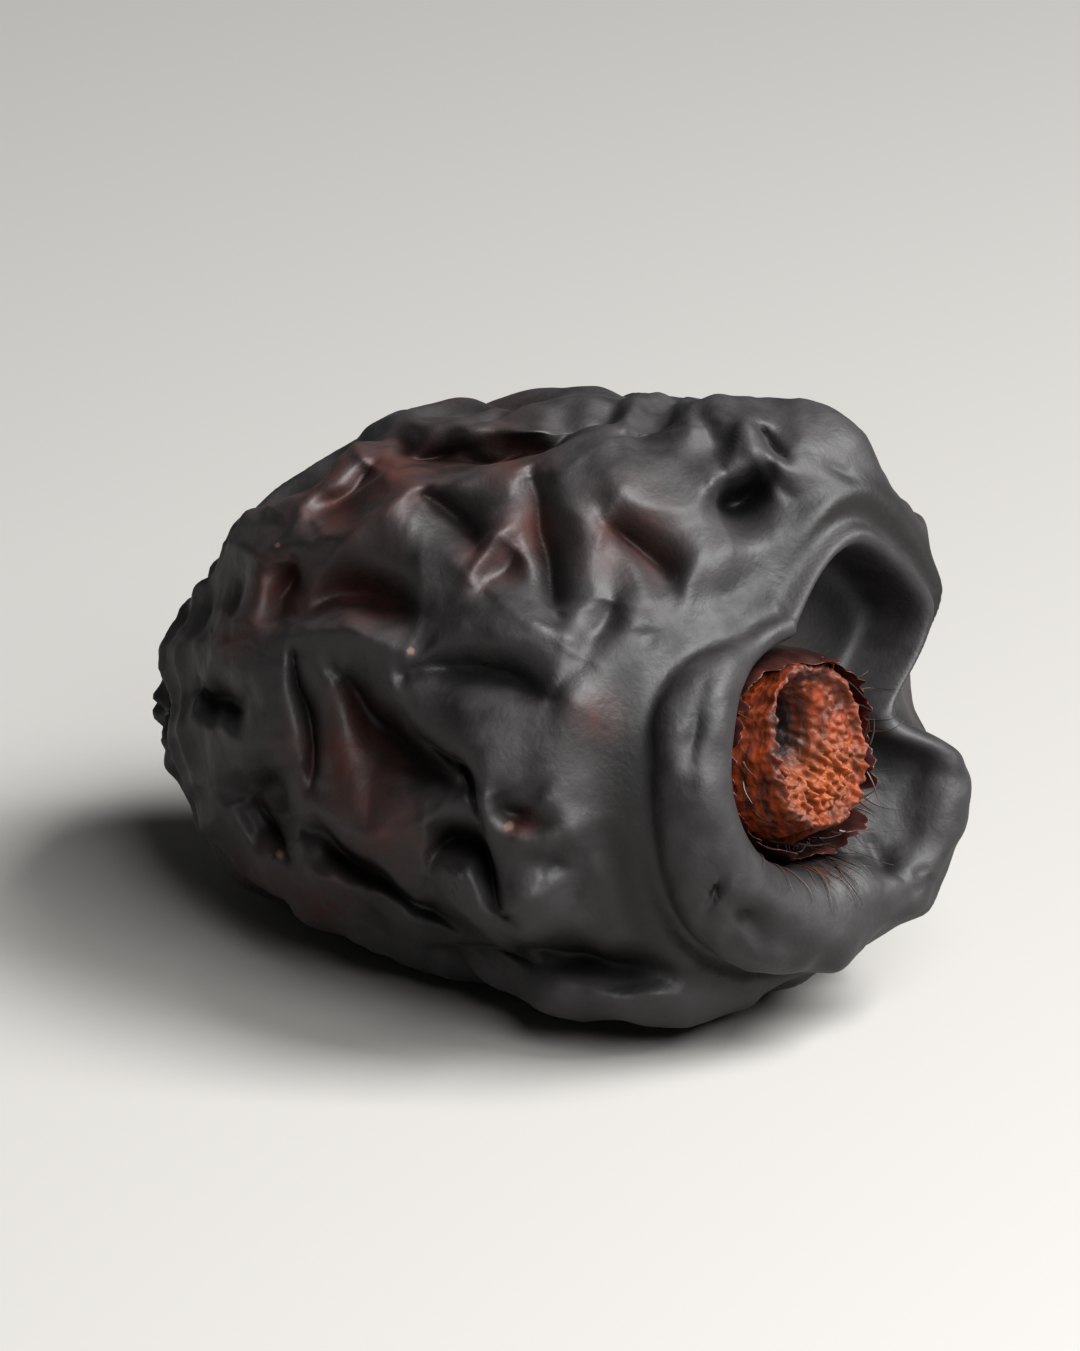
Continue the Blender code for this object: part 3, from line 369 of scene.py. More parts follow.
def smoothBody(direction):
    s = fruitShape
    across, clock = roundAxis(direction)
    x, radius, collar, folds = blended(outlineTable, clock, (1.0 - direction[:, 0]) / 2.0)
    body = np.where(x < 0.0, 1.0, eased(7.4, 10.0, radius))
    angle = np.radians(clock)
    lumps = 0.03 * np.cos(3.0 * angle + 0.6 + 0.12 * x)
    lumps += 0.025 * np.cos(2.0 * angle - 0.5 + 0.2 * x)
    y = across[:, 0] * radius * (1.0 + body * (lumps + s["widthShare"] - 1.0))
    z = across[:, 1] * radius * (1.0 + body * (lumps + s["heightShare"] - 1.0))
    z = z - s["tipDroop"] * eased(0.0, 1.0, -x / s["tipReach"]) ** 1.5
    return bent(x, y, z), collar, folds, clock, radius


def viewAxes(view):
    turn, rise = math.radians(view["azimuth"]), math.radians(view["elevation"])
    right = (math.cos(turn), math.sin(turn), 0.0)
    up = (-math.sin(turn) * math.sin(rise), math.cos(turn) * math.sin(rise), math.cos(rise))
    towards = (math.sin(turn) * math.cos(rise), -math.cos(turn) * math.cos(rise), math.sin(rise))
    return np.array([right, up, towards])


def roundedLine(points, pieces=6):
    points = np.array(points)
    ends = np.vstack([2.0 * points[0] - points[1], points, 2.0 * points[-1] - points[-2]])
    line = []
    for a, b, c, d in zip(ends, ends[1:], ends[2:], ends[3:]):
        for t in np.arange(pieces) / pieces:
            square = (2.0 * a - 5.0 * b + 4.0 * c - d) * t**2
            cube = (3.0 * b - a - 3.0 * c + d) * t**3
            line.append(0.5 * (2.0 * b + (c - a) * t + square + cube))
    return np.array([*line, points[-1]])


def awayFrom(seen, points):
    # distance to a rounded line, and how far along it the nearest place is
    line = roundedLine(points)
    start, run = line[:-1], np.diff(line, axis=0)
    share = np.einsum("psk,sk->ps", seen[:, None] - start[None], run) / (run * run).sum(1)
    share = np.clip(share, 0.0, 1.0)
    gap = np.linalg.norm(seen[:, None] - start[None] - share[:, :, None] * run[None], axis=2)
    nearest = gap.argmin(axis=1)
    rows = np.arange(len(seen))
    return gap[rows, nearest], (nearest + share[rows, nearest]) / len(run)


def tapered(along, ends):
    # from nothing at a line's ends to one halfway along it
    return np.clip(np.sin(math.pi * np.clip(along, ends, 1.0 - ends)), 0.0, 1.0)


def facetHeight(seen):
    # between a ridge and a furrow the skin slopes evenly, as a folded sheet does
    v = nearView
    weight = np.full(len(seen), v["slack"])
    total = -v["sunk"] * weight
    crisp = np.zeros(len(seen))
    lean = np.zeros((len(seen), 2))
    for height, spread, points, *leaning in nearRidges:
        away, along = awayFrom(seen, points)
        taper = np.sqrt(tapered(along, 0.05))
        strength = 0.5 + 0.5 * taper
        reach, rounding = v["wide"] * spread, v["rounding"] * spread
        pull = strength * np.exp(-away / reach) / np.sqrt(away**2 + rounding**2)
        weight += pull
        total += pull * v["lift"] * height * strength
        crisp = np.maximum(crisp, taper * np.exp(-((away / 0.3) ** 2)))
        for amount in leaning:
            lean += (taper * np.exp(-1.5 * away / reach))[:, None] * np.array(amount)
    for depth, width, points in nearFurrows:
        away, along = awayFrom(seen, points)
        taper = np.sqrt(tapered(along, 0.04))
        reach, rounding = v["open"] * (width + 0.35), 0.5 * width
        pull = taper * np.exp(-away / reach) / np.sqrt(away**2 + rounding**2)
        weight += pull
        total -= pull * (v["floor"] + v["sink"] * depth) * (0.3 + 0.7 * taper)
    return total / weight, crisp, lean


def collarDepth(seen):
    total = np.zeros(len(seen))
    for depth, width, points in collarFurrows:
        away, along = awayFrom(seen, points)
        total += depth * tapered(along, 0.03) ** 0.6 * np.exp(-((away / (1.35 * width)) ** 1.4))
    return total


def waves(points, length, seed, count=14):
    rng = np.random.default_rng(seed)
    way = rng.normal(size=(count, 3))
    pace = 2.0 * math.pi / length / np.linalg.norm(way, axis=1) * rng.uniform(0.7, 1.4, count)
    way *= pace[:, None]
    ripple = np.sin(points @ way.T + rng.uniform(0.0, 2.0 * math.pi, count))
    return ripple.sum(axis=1) * math.sqrt(2.0 / count) / 1.6


def sunkenCells(points, centre, axes, depth, shape, batch=8000):
    relief = np.empty(len(points))
    for first in range(0, len(points), batch):
        apart = points[first:first + batch, None] - centre[None]
        away = np.linalg.norm(np.einsum("pck,cak->pca", apart, axes), axis=2)
        nearest, second = np.partition(away, 1, axis=1)[:, :2].T
        share = np.exp(-5.0 * (away - nearest[:, None]))
        sunk = (share * depth).sum(1) / share.sum(1)
        edge = np.sqrt((second - nearest) ** 2 + shape["rounding"] ** 2) - shape["rounding"]
        risen = shape["rise"] - (1.0 - np.exp(-edge / shape["crest"]))
        relief[first:first + batch] = sunk * risen
    return relief


def farCells(points):
    # centres are spread over a ball, shaken and laid on the body, and each gets axes of its own
    f = farFolds
    rng = np.random.default_rng(f["seed"])
    count = f["count"]
    x = 1.0 - 2.0 * (np.arange(count) + 0.5) / count
    turn = math.pi * (1.0 + math.sqrt(5.0)) * np.arange(count)
    rim = np.sqrt(1.0 - x * x)
    direction = np.column_stack([x, rim * np.cos(turn), rim * np.sin(turn)])
    direction = unit(direction + rng.normal(0.0, 1.1 / math.sqrt(count), direction.shape))
    centre = smoothBody(direction)[0]
    ahead = unit(direction + np.array([0.02, 0.0, 0.0]))
    lengthwise = unit(smoothBody(ahead)[0] - centre)
    outward = centre * np.array([0.65, 1.0, 1.0])
    outward = unit(outward - (outward * lengthwise).sum(1)[:, None] * lengthwise)
    crosswise = np.cross(outward, lengthwise)
    angle = rng.normal(0.0, math.radians(f["wander"]), count)[:, None]
    along = lengthwise * np.cos(angle) + crosswise * np.sin(angle)
    across = crosswise * np.cos(angle) - lengthwise * np.sin(angle)
    size = rng.uniform(0.75, 1.25, (count, 1))
    axes = np.stack([along / (f["length"] * size), across / (f["width"] * size),
                     outward / f["width"]], axis=1)
    depth = rng.uniform(*f["depth"], count)
    return sunkenCells(points, centre, axes, depth, f)


# unevenness of the skin: rows of height, wave length, seed and, if it isn't 14, number of waves
skinWaves = {
    "rolled": ((0.16, 3.5, 31), (0.045, 1.3, 32, 20)),
    "crease": ((0.025, 2.2, 51), (0.008, 0.8, 52, 20)),
}

# the puckered tip: pleats that run together there, and skin that is crumpled further round it
tipShape = {"pleats": 9.0, "pleatHeight": 0.16, "pleatReach": 2.5, "crumpleReach": 4.0,
            "crumpleRise": 0.30, "crumpleCrease": 0.6, "crumpleWave": 0.10}


def wavy(points, rows):
    return sum(height * waves(points, *row) for height, *row in rows)


def drifting(points, height, length, seeds):
    return height * np.column_stack([waves(points, length, seed) for seed in seeds])


def tipFolds(points):
    t = tipShape
    clock = np.arctan2(points[:, 2] + fruitShape["tipDroop"], points[:, 1])
    fromTip = points[:, 0] - points[:, 0].min()
    puckered = np.exp(-fromTip / t["pleatReach"]) * eased(0.0, 1.2, fromTip)
    pleats = t["pleatHeight"] * np.cos(t["pleats"] * clock + 1.5 * np.sin(2.0 * clock)) * puckered
    crumpled = t["crumpleRise"] - t["crumpleCrease"] * np.abs(waves(points, 3.2, 53))
    crumpled += t["crumpleWave"] * waves(points, 1.3, 54)
    return pleats, crumpled * np.exp(-((fromTip / t["crumpleReach"]) ** 2))


def spots(seen, places):
    # one in the middle of each place, less round it
    return sum(np.exp(-(((seen - place) / radius) ** 2).sum(axis=1)) for place, radius in places)


def fruitRelief(points, normal, collar, folds, clock, radius):
    # how far each place moves, and what the skin's finish follows there
    axes = viewAxes(nearView)
    seen = points @ axes[:2].T + drifting(points, 0.10, 2.5, (11, 12))
    facing = normal @ axes[2]
    near = eased(-0.05, 0.25, facing)
    body = 1.0 - collar
    above = points[:, 2] + fruitShape["middleHeight"]
    pressed = 0.3 + 0.7 * eased(0.3, 2.5, above)  # folds are low where the date's weight rests
    facet, crisp, lean = facetHeight(seen)
    laidOut = near * body * folds * facet
    warped = points + drifting(points, farFolds["warp"], 6.0, (21, 22, 23))
    far = body * folds * (1.0 - 0.68 * near) * farCells(warped)
    rolled = collar * folds * (wavy(points, skinWaves["rolled"]) - 2.0 * near * collarDepth(seen))
    pleats, crumpled = tipFolds(points)
    # what the source leaves out: fine creases in the skin and pleats round the socket
    crease = wavy(points, skinWaves["crease"]) + crumpled
    radial = np.cos(np.radians(clock) * 31.0 + 5.0 * np.sin(np.radians(clock) * 3.0 + 0.5))
    mouth = collar * np.exp(-(((radius - 4.5) / 0.5) ** 2)) * sideShare(clock, 295.0, 60.0)
    plain = (far + rolled + pleats) * pressed + crease * (0.4 + 0.6 * folds) + 0.06 * mouth * radial
    # folds that were laid out as seen move towards the eye, so that each stays where it was seen
    towards = 0.85 * eased(0.05, 0.40, facing)[:, None]
    way = normal * (1.0 - towards) + axes[2] * towards * 1.25
    aside = (near * body * folds)[:, None] * (lean @ axes[:2])
    moved = normal * plain[:, None] + (way * laidOut[:, None] + aside) * pressed[:, None]
    elsewhere = (1.0 - near) * eased(0.2, 0.8, waves(points, 5.0, 81))
    # painted shade: "relief" is lowered along the groove between collar and body, only so that the
    # skin's colour is darker there
    groove = body * (1.0 - folds) ** 2
    rim = np.array([row[row[:, 0].argmax(), 1] for row in outlineTable])[outlineRow(clock)]
    return moved, {
        "relief": laidOut + far + rolled - groove,
        "crisp": near * body * folds * crisp,
        "red": body * (near * np.minimum(spots(seen, thinPlaces), 1.0) + 0.35 * elsewhere),
        "fleck": near * spots(seen, fleckPlaces),
        "inner": collar * (1.0 - eased(rim - 2.0, rim - 0.5, radius)),
    }


def pressedFlat(points):
    above = points[:, 2] + fruitShape["middleHeight"]
    soft = fruitShape["restSoftness"]
    easing = (above + soft) ** 2 / (4.0 * soft)
    z = np.where(above > soft, above, np.where(above < -soft, 0.0, easing))
    return np.column_stack([points[:, :2], z])


def vertexPlaces(mesh):
    flat = np.empty(len(mesh.vertices) * 3)
    mesh.vertices.foreach_get("co", flat)
    return flat.reshape(-1, 3)


def vertexNormals(mesh):
    mesh.update()
    flat = np.empty(len(mesh.vertices) * 3)
    mesh.vertex_normals.foreach_get("vector", flat)
    return flat.reshape(-1, 3)


def moveVertices(mesh, points):
    mesh.vertices.foreach_set("co", np.asarray(points, dtype=np.float32).ravel())
    mesh.update()


def storeValue(mesh, name, values):
    layer = mesh.attributes.new(name, "FLOAT", "POINT")
    layer.data.foreach_set("value", np.asarray(values, dtype=np.float32))


def storePlace(mesh, name, points):
    layer = mesh.attributes.new(name, "FLOAT_VECTOR", "POINT")
    layer.data.foreach_set("vector", np.asarray(points, dtype=np.float32).ravel())


def roundedCube(name, cells):
    # a cube is added, divided in edit mode and rounded into a ball of even squares
    bpy.ops.object.select_all(action="DESELECT")
    bpy.ops.mesh.primitive_cube_add(size=2.0)
    ball = bpy.context.object
    ball.name = name
    bpy.ops.object.mode_set(mode="EDIT")
    bpy.ops.mesh.select_all(action="SELECT")
    bpy.ops.mesh.subdivide(number_cuts=cells // 2 - 1)
    bpy.ops.mesh.subdivide(number_cuts=1)
    bpy.ops.object.mode_set(mode="OBJECT")
    moveVertices(ball.data, unit(np.tan(vertexPlaces(ball.data) * math.pi / 4.0)))
    return ball


def evenOut(mesh, chosen, times):
    # smooths what is chosen, in edit mode, where a fold turns faster than the squares can follow
    mesh.vertices.foreach_set("select", np.asarray(chosen, dtype=bool))
    mesh.edges.foreach_set("select", np.zeros(len(mesh.edges), dtype=bool))
    mesh.polygons.foreach_set("select", np.zeros(len(mesh.polygons), dtype=bool))
    bpy.ops.object.mode_set(mode="EDIT")
    bpy.context.tool_settings.mesh_select_mode = (True, False, False)
    bpy.ops.mesh.vertices_smooth(factor=0.5, repeat=times)
    bpy.ops.object.mode_set(mode="OBJECT")


def boxMiddle(low, high):
    return (np.array(low) + np.array(high)) / 2.0


def addSkin():
    skin = roundedCube("dateSkin", fruitShape["cells"])
    mesh = skin.data
    body, collar, folds, clock, radius = smoothBody(vertexPlaces(mesh))
    moveVertices(mesh, body)
    moved, shares = fruitRelief(body, vertexNormals(mesh), collar, folds, clock, radius)
    points = pressedFlat(body + moved)
    low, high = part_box("fruit")
    shift = boxMiddle(low, high) / mm - boxMiddle(points.min(axis=0), points.max(axis=0))
    shift[2] = 0.0
    moveVertices(mesh, (points + shift) * mm)
    pocketSide = (collar > 0.25) & (radius > 3.0) & (sideShare(clock, 35.0, 52.0) > 0.0)
    evenOut(mesh, pocketSide, 9)
    for name, values in shares.items():
        storeValue(mesh, name, values)
    bpy.ops.object.shade_smooth()
    return skin, shift


print("skin")
dateSkin, shift = addSkin()


# the broken stub of the calyx, in millimetres along the fruit's long axis, before its end is turned
stubShape = {
    "root": 10.4,
    "rootRadius": 3.4,
    "reach": 13.8,
    "endWidth": 2.35,
    "endHeight": 2.95,
    "aside": (-0.2, 0.35),  # how far its end stands off the axis
    "rim": 0.30,
    "rimPlace": 0.93,  # share of the way out to the end's edge
    "hole": 2.4,
    "holePlace": (-0.6, 0.8),
    "holeSize": (0.8, 1.25),
    "massPlace": (0.1, -1.1),  # the grainy mass below the hole
    "massSize": (1.6, 1.4),
    "cells": 64,
}


def stubOutline():
    s = stubShape
    end = [(s["reach"], r) for r in np.linspace(0.0, s["endHeight"] - 0.25, 10)]
    root = [(s["root"], r) for r in np.linspace(s["rootRadius"] - 0.2, 0.0, 10)]
    side = [(s["reach"] - 0.3, s["endHeight"]), (s["root"] + 0.3, s["rootRadius"])]
    return evened([*end, *side, *root])


def placed(points):
    # out of the frame of the body and onto the floor
    lifted = points + np.array([0.0, 0.0, fruitShape["middleHeight"]]) + shift
    return lifted * mm


def mound(y, z, place, size):
    return np.exp(-(((y - place[0]) / size[0]) ** 2) - ((z - place[1]) / size[1]) ** 2)


def addStub():
    s = stubShape
    stub = roundedCube("calyxStub", s["cells"])
    mesh = stub.data
    direction = vertexPlaces(mesh)
    across, clock = roundAxis(direction)
    outline = np.array([spreadEvenly(stubOutline())] * 2)
    x, radius = blended(outline, clock, (1.0 - direction[:, 0]) / 2.0)
    nearEnd = eased(s["root"] + 1.4, s["reach"], x)
    y, z = (across * radius[:, None]).T
    y = y * (1.0 - nearEnd * (1.0 - s["endWidth"] / s["endHeight"]))
    flat = np.column_stack([0.5 * x, y, z])
    end = eased(s["reach"] - 0.6, s["reach"] - 0.1, x)
    share = np.hypot(y / s["endWidth"], z / s["endHeight"])
    inside = eased(1.0, 0.75, share)
    broken = eased(-0.5, 0.5, waves(flat, 2.6, 68))
    rim = np.exp(-(((share - s["rimPlace"]) / 0.07) ** 2))
    rim *= broken * (0.7 + 0.5 * waves(flat, 0.5, 67, 24))
    hole = mound(y, z, s["holePlace"], s["holeSize"])
    mass = mound(y, z, s["massPlace"], s["massSize"])
    lumps = 0.45 * np.abs(waves(flat, 0.6, 62)) + 0.30 * waves(flat, 0.28, 63, 30)
    ahead = (s["rim"] * rim - s["hole"] * hole - 0.35 * inside + mass * (0.35 + 0.4 * lumps)
             + 0.16 * lumps)
    x = x + end * ahead
    # fibres run lengthwise down its side
    side = (1.0 - end) * eased(1.0, 2.4, radius)
    turn = np.radians(clock)
    lengthwise = np.column_stack([0.22 * x, 3.2 * np.cos(turn), 3.2 * np.sin(turn)])
    fibres = waves(lengthwise, 0.9, 64, 24) + 0.7 * np.abs(waves(lengthwise, 0.5, 65, 30))
    narrowed = 1.0 + 0.035 * (side + 0.8 * end * eased(0.7, 1.0, share)) * (fibres - 1.0)
    asideY, asideZ = s["aside"]
    moved = bent(x, y * narrowed + asideY * nearEnd, z * narrowed + asideZ * nearEnd)
    moveVertices(mesh, placed(moved))
    rimPlace = s["rimPlace"] + 0.05 * waves(flat, 1.2, 66)
    storeValue(mesh, "rim", end * (1.0 - hole) * np.exp(-(((share - rimPlace) / 0.07) ** 2)))
    # painted shade: where the stub's hole is, its colour goes nearly black
    storeValue(mesh, "holeShade", end * np.minimum(1.8 * hole, 1.0))
    storeValue(mesh, "granular", end * mass)
    storePlace(mesh, "fibrePlace", np.column_stack([0.9 * x, 0.25 * y, 0.25 * z]))
    bpy.ops.object.shade_smooth()
    return stub


# torn skin of the calyx that still clings between the stub and the wall of the socket
membraneShape = {
    "around": 300,  # faces round it and across it
    "across": 32,
    "thick": 0.09,
    "radius": 3.55,
    "root": 10.6,
    "rim": 12.5,  # and how much further it reaches on top and below, and where it is torn
    "topReach": 0.9,
    "lowReach": 0.35,
    "tearReach": 0.6,
}


def addMembrane():
    s = membraneShape
    bpy.ops.object.select_all(action="DESELECT")
    bpy.ops.mesh.primitive_torus_add(major_segments=s["around"], minor_segments=s["across"],
                                     major_radius=2.0, minor_radius=0.5)
    membrane = bpy.context.object
    membrane.name = "calyxMembrane"
    mesh = membrane.data
    ring = vertexPlaces(mesh)
    turn = np.arctan2(ring[:, 1], ring[:, 0])
    clock = np.degrees(turn)
    minor = np.arctan2(ring[:, 2], np.hypot(ring[:, 0], ring[:, 1]) - 2.0)
    up = (1.0 - np.cos(minor)) / 2.0
    outer = np.sign(np.sin(minor)) * np.minimum(1.0, 3.0 * np.abs(np.sin(minor)))
    ringed = np.column_stack([np.cos(turn), np.sin(turn), 0.0 * turn]) * 3.4
    torn = 0.75 * waves(ringed, 2.2, 71) + 0.45 * np.abs(waves(ringed, 0.7, 72))
    torn += 0.25 * waves(ringed, 0.35, 73, 24)
    top = sideShare(clock, 75.0, 60.0)
    low = sideShare(clock, 285.0, 75.0)
    reach = s["rim"] + s["topReach"] * top + s["lowReach"] * low + s["tearReach"] * torn
    x = s["root"] + up * (reach - s["root"])
    folded = waves(np.column_stack([ringed[:, :2], 0.7 * x]), 0.8, 74)
    lean = 0.10 * folded * up + up**2 * (-0.35 * top + 0.15 * low)
    radius = s["radius"] + lean + 0.5 * s["thick"] * outer * (1.0 - 0.6 * up)
    moveVertices(mesh, placed(bent(x, radius * np.cos(turn), radius * np.sin(turn))))
    storeValue(mesh, "edge", up * eased(0.7, 1.0, up))
    bpy.ops.object.shade_smooth()
    return membrane


# loose fibres on the socket's wall and shreds round the stub: how many, and where they lie, in
# millimetres out from the long axis or along it and degrees round it
fibrePlan = {
    "seed": 9,
    "hairs": 46,
    "hairThick": 0.035,
    "hairSide": (300.0, 34.0),  # middle and spread
    "hairStart": (3.2, 3.5),
    "hairEnd": (4.1, 5.6),
    "hairRoot": 11.6,
    "shreds": 26,
    "shredThick": 0.06,
    "shredSide": (280.0, 30.0),
    "shredRoot": (11.9, 13.2),
    "shredRadius": 3.1,
    "shredLength": (0.4, 1.2),
}


def wallReach(clock, radius):
    # how far along the fruit the socket's wall stands at one angle and each radius
    row = outlineTable[outlineRow(clock)]
    wall = row[:row[:, 0].argmax()]
    return np.interp(radius, wall[:, 1], wall[:, 0])


def hairRoute(rng):
    # outwards over the wall of the socket
    f = fibrePlan
    turn = math.radians(rng.normal(*f["hairSide"]))
    start, end = rng.uniform(*f["hairStart"]), rng.uniform(*f["hairEnd"])
    share = np.linspace(0.0, 1.0, 12)
    radius = start + (end - start) * share
    x = np.maximum(wallReach(math.degrees(turn), radius), f["hairRoot"]) + rng.uniform(0.03, 0.16)
    swing = turn + rng.normal(0.0, 0.10) * share
    swing += 0.04 * np.sin(5.0 * share + rng.uniform(0.0, 6.0))
    return share, x, radius, swing


def shredRoute(rng):
    # along the side of the stub, and a little away from it
    f = fibrePlan
    turn = math.radians(rng.choice([rng.normal(*f["shredSide"]), rng.uniform(0.0, 360.0)]))
    share = np.linspace(0.0, 1.0, 7)
    length = rng.uniform(*f["shredLength"])
    x = rng.uniform(*f["shredRoot"]) + length * share
    away = 0.25 * share * rng.uniform(-0.2, 1.6)
    radius = f["shredRadius"] + away + 0.05 * np.sin(4.0 * share)
    return share, x, radius, turn + rng.normal(0.0, 0.22) * share


def addFibres():
    f = fibrePlan
    rng = np.random.default_rng(f["seed"])
    curve = bpy.data.curves.new("calyxFibres", "CURVE")
    curve.dimensions = "3D"
    curve.bevel_depth = mm
    curve.bevel_resolution = 1
    curve.use_fill_caps = True
    routes = [(hairRoute, f["hairThick"])] * f["hairs"]
    routes += [(shredRoute, f["shredThick"])] * f["shreds"]
    for route, thick in routes:
        share, x, radius, swing = route(rng)
        points = placed(bent(x, radius * np.cos(swing), radius * np.sin(swing)))
        spline = curve.splines.new("POLY")
        spline.points.add(len(points) - 1)
        for point, place, along in zip(spline.points, points, share):
            point.co = (*place, 1.0)
            point.radius = thick * rng.uniform(0.7, 1.0) * (1.0 - 0.85 * along)
    bpy.ops.object.select_all(action="DESELECT")
    fibres = bpy.data.objects.new("calyxFibres", curve)
    bpy.context.scene.collection.objects.link(fibres)
    fibres.select_set(True)
    bpy.context.view_layer.objects.active = fibres
    bpy.ops.object.convert(target="MESH")
    fibres = bpy.context.object
    bpy.ops.object.shade_smooth()
    return fibres


print("stub, membrane and fibres")
calyxStub = addStub()
calyxMembrane = addMembrane()
calyxFibres = addFibres()


def linear(code):
    value = [int(code[i:i + 2], 16) / 255.0 for i in (1, 3, 5)]
    return *(v / 12.92 if v <= 0.04045 else ((v + 0.055) / 1.055) ** 2.4 for v in value), 1.0


def addNode(tree, kind, values=None, links=None, **settings):
    node = tree.nodes.new(kind)
    for name, value in settings.items():
        setattr(node, name, value)
    for socket, value in (values or {}).items():
        node.inputs[socket].default_value = value
    for socket, source in (links or {}).items():
        tree.links.new(source, node.inputs[socket])
    return node


def newFinish(name, allOver):
    # a material, its nodes and its shader, and what is the same all over the surface
    material = bpy.data.materials.new(name)
    material.use_nodes = True
    tree = material.node_tree
    shader = tree.nodes["Principled BSDF"]
    for socket, value in allOver.items():
        shader.inputs[socket].default_value = value
    return material, tree, shader


# dried date skin: thin, waxy and nearly black, red-brown where it is thin or stretched over a fold.
# Its grain and pores, in millimetres, break up the sheen as the fine creases of a real one do
# its grey bloom on raised folds is partly real wax and partly painted sheen, and its darker furrows
# are painted shade
skinFinish = {
    "deep": "#030202",
    "brown": "#090605",
    "bloomAndSheen": "#232122",  # the dusty wax on what stands out, and painted sheen there
    "thin": "#30120b",
    # the crests' lighter grey: partly rubbed wax, partly painted highlight
    "crest": "#2c2829",
    "crestHighlightShare": 0.25,
    "chip": "#5c463c",
    "roughness": (0.54, 0.68),
    "cloud": 5.0,
    "mottle": 1.1,
    "grain": 0.42,
    "grainDepth": 0.06,
    "pore": 0.16,
    "poreDepth": 0.04,
}


def waxySkin():
    f = skinFinish
    material, tree, shader = newFinish("dried date skin", {"IOR": 1.42})
    crisp, relief, inner, red, fleck = (
        addNode(tree, "ShaderNodeAttribute", attribute_name=name).outputs["Fac"]
        for name in ("crisp", "relief", "inner", "red", "fleck"))
    place = addNode(tree, "ShaderNodeTexCoord").outputs["Object"]
    cloud, mottle, pore = (
        addNode(tree, "ShaderNodeTexNoise", {"Scale": 1.0 / (f[name] * mm), "Detail": detail},
                {"Vector": place}).outputs["Fac"]
        for name, detail in (("cloud", 3.0), ("mottle", 4.0), ("pore", 2.0)))
    grain = addNode(tree, "ShaderNodeTexVoronoi", {"Scale": 1.0 / (f["grain"] * mm)},
                    {"Vector": place}, feature="DISTANCE_TO_EDGE").outputs["Distance"]
    brownShare = addNode(tree, "ShaderNodeMapRange", {"From Min": 0.4, "From Max": 0.7},
                         {"Value": cloud}).outputs["Result"]
    colour = addNode(tree, "ShaderNodeMix", {"A": linear(f["deep"]), "B": linear(f["brown"])},
                     {"Factor": brownShare}, data_type="RGBA").outputs["Result"]
    # bloom and painted sheen lie on what stands out, in patches, and hardly inside the socket;
    # where they are missing, in the furrows, that is painted shade
    sheenOnRaised = addNode(tree, "ShaderNodeMapRange", {"From Min": -0.9, "From Max": 0.1},
                     {"Value": relief}, interpolation_type="SMOOTHSTEP").outputs["Result"]
    outside = addNode(tree, "ShaderNodeMapRange", {"To Min": 1.0, "To Max": 0.15},
                      {"Value": inner}).outputs["Result"]
    uneven = addNode(tree, "ShaderNodeMapRange",
                     {"From Min": 0.3, "From Max": 0.65, "To Min": 0.45},
                     {"Value": mottle}).outputs["Result"]
    sheenOnRaisedOutside = addNode(tree, "ShaderNodeMath", None, {0: sheenOnRaised, 1: outside},
                        operation="MULTIPLY").outputs[0]
    bloomAndSheenShare = addNode(tree, "ShaderNodeMath", None, {0: sheenOnRaisedOutside, 1: uneven},
                         operation="MULTIPLY").outputs[0]
    # thin skin is red-brown in patches too
    patchy = addNode(tree, "ShaderNodeMapRange",
                     {"From Min": 0.35, "From Max": 0.6, "To Min": 0.3},
                     {"Value": mottle}).outputs["Result"]
    redShare = addNode(tree, "ShaderNodeMath", None, {0: red, 1: patchy},
                       operation="MULTIPLY", use_clamp=True).outputs[0]
    # crests are lighter, partly rubbed wax and partly painted highlight, and the skin is chipped in
    # a few places
    rubbedAndLit = addNode(tree, "ShaderNodeMath", None, {0: crisp, 1: uneven},
                     operation="MULTIPLY").outputs[0]
    rubbedAndLitShare = addNode(tree, "ShaderNodeMath", {1: f["crestHighlightShare"]}, {0: rubbedAndLit},
                          operation="MULTIPLY").outputs[0]
    chipShare = addNode(tree, "ShaderNodeMapRange", {"From Min": 0.35, "From Max": 0.75},
                        {"Value": fleck}).outputs["Result"]
    for tint, share in (("bloomAndSheen", bloomAndSheenShare), ("thin", redShare), ("crest", rubbedAndLitShare),
                        ("chip", chipShare)):
        colour = addNode(tree, "ShaderNodeMix", {"B": linear(f[tint])},
                         {"Factor": share, "A": colour}, data_type="RGBA").outputs["Result"]
    tree.links.new(colour, shader.inputs["Base Color"])
    smoothest, roughest = f["roughness"]
    rough = addNode(tree, "ShaderNodeMapRange",
                    {"From Min": 0.3, "From Max": 0.7, "To Min": smoothest, "To Max": roughest},
                    {"Value": mottle}).outputs["Result"]
    tree.links.new(rough, shader.inputs["Roughness"])
    grainBump = addNode(tree, "ShaderNodeBump",
                        {"Strength": 0.25, "Distance": f["grainDepth"] * mm},
                        {"Height": grain}).outputs["Normal"]
    poreBump = addNode(tree, "ShaderNodeBump",
                       {"Strength": 0.3, "Distance": f["poreDepth"] * mm},
                       {"Height": pore, "Normal": grainBump}).outputs["Normal"]
    tree.links.new(poreBump, shader.inputs["Normal"])
    return material


# dry fibre of the calyx: matt orange, streaked lengthwise, paler on the broken grains, with a dull
# brown rim and a hole painted nearly black as painted shade. A little light passes into it, as into
# straw
fibreFinish = {
    "dark": "#2a0a01",
    "main": "#742903",
    "light": "#8c4412",
    "rim": "#43261d",
    # painted shade in the stub's hole
    "deep": "#0b0201",
    "streaks": 4.0,  # to a millimetre across
    "grain": 0.34,
    "speck": 0.5,
    "depth": 0.12,
}


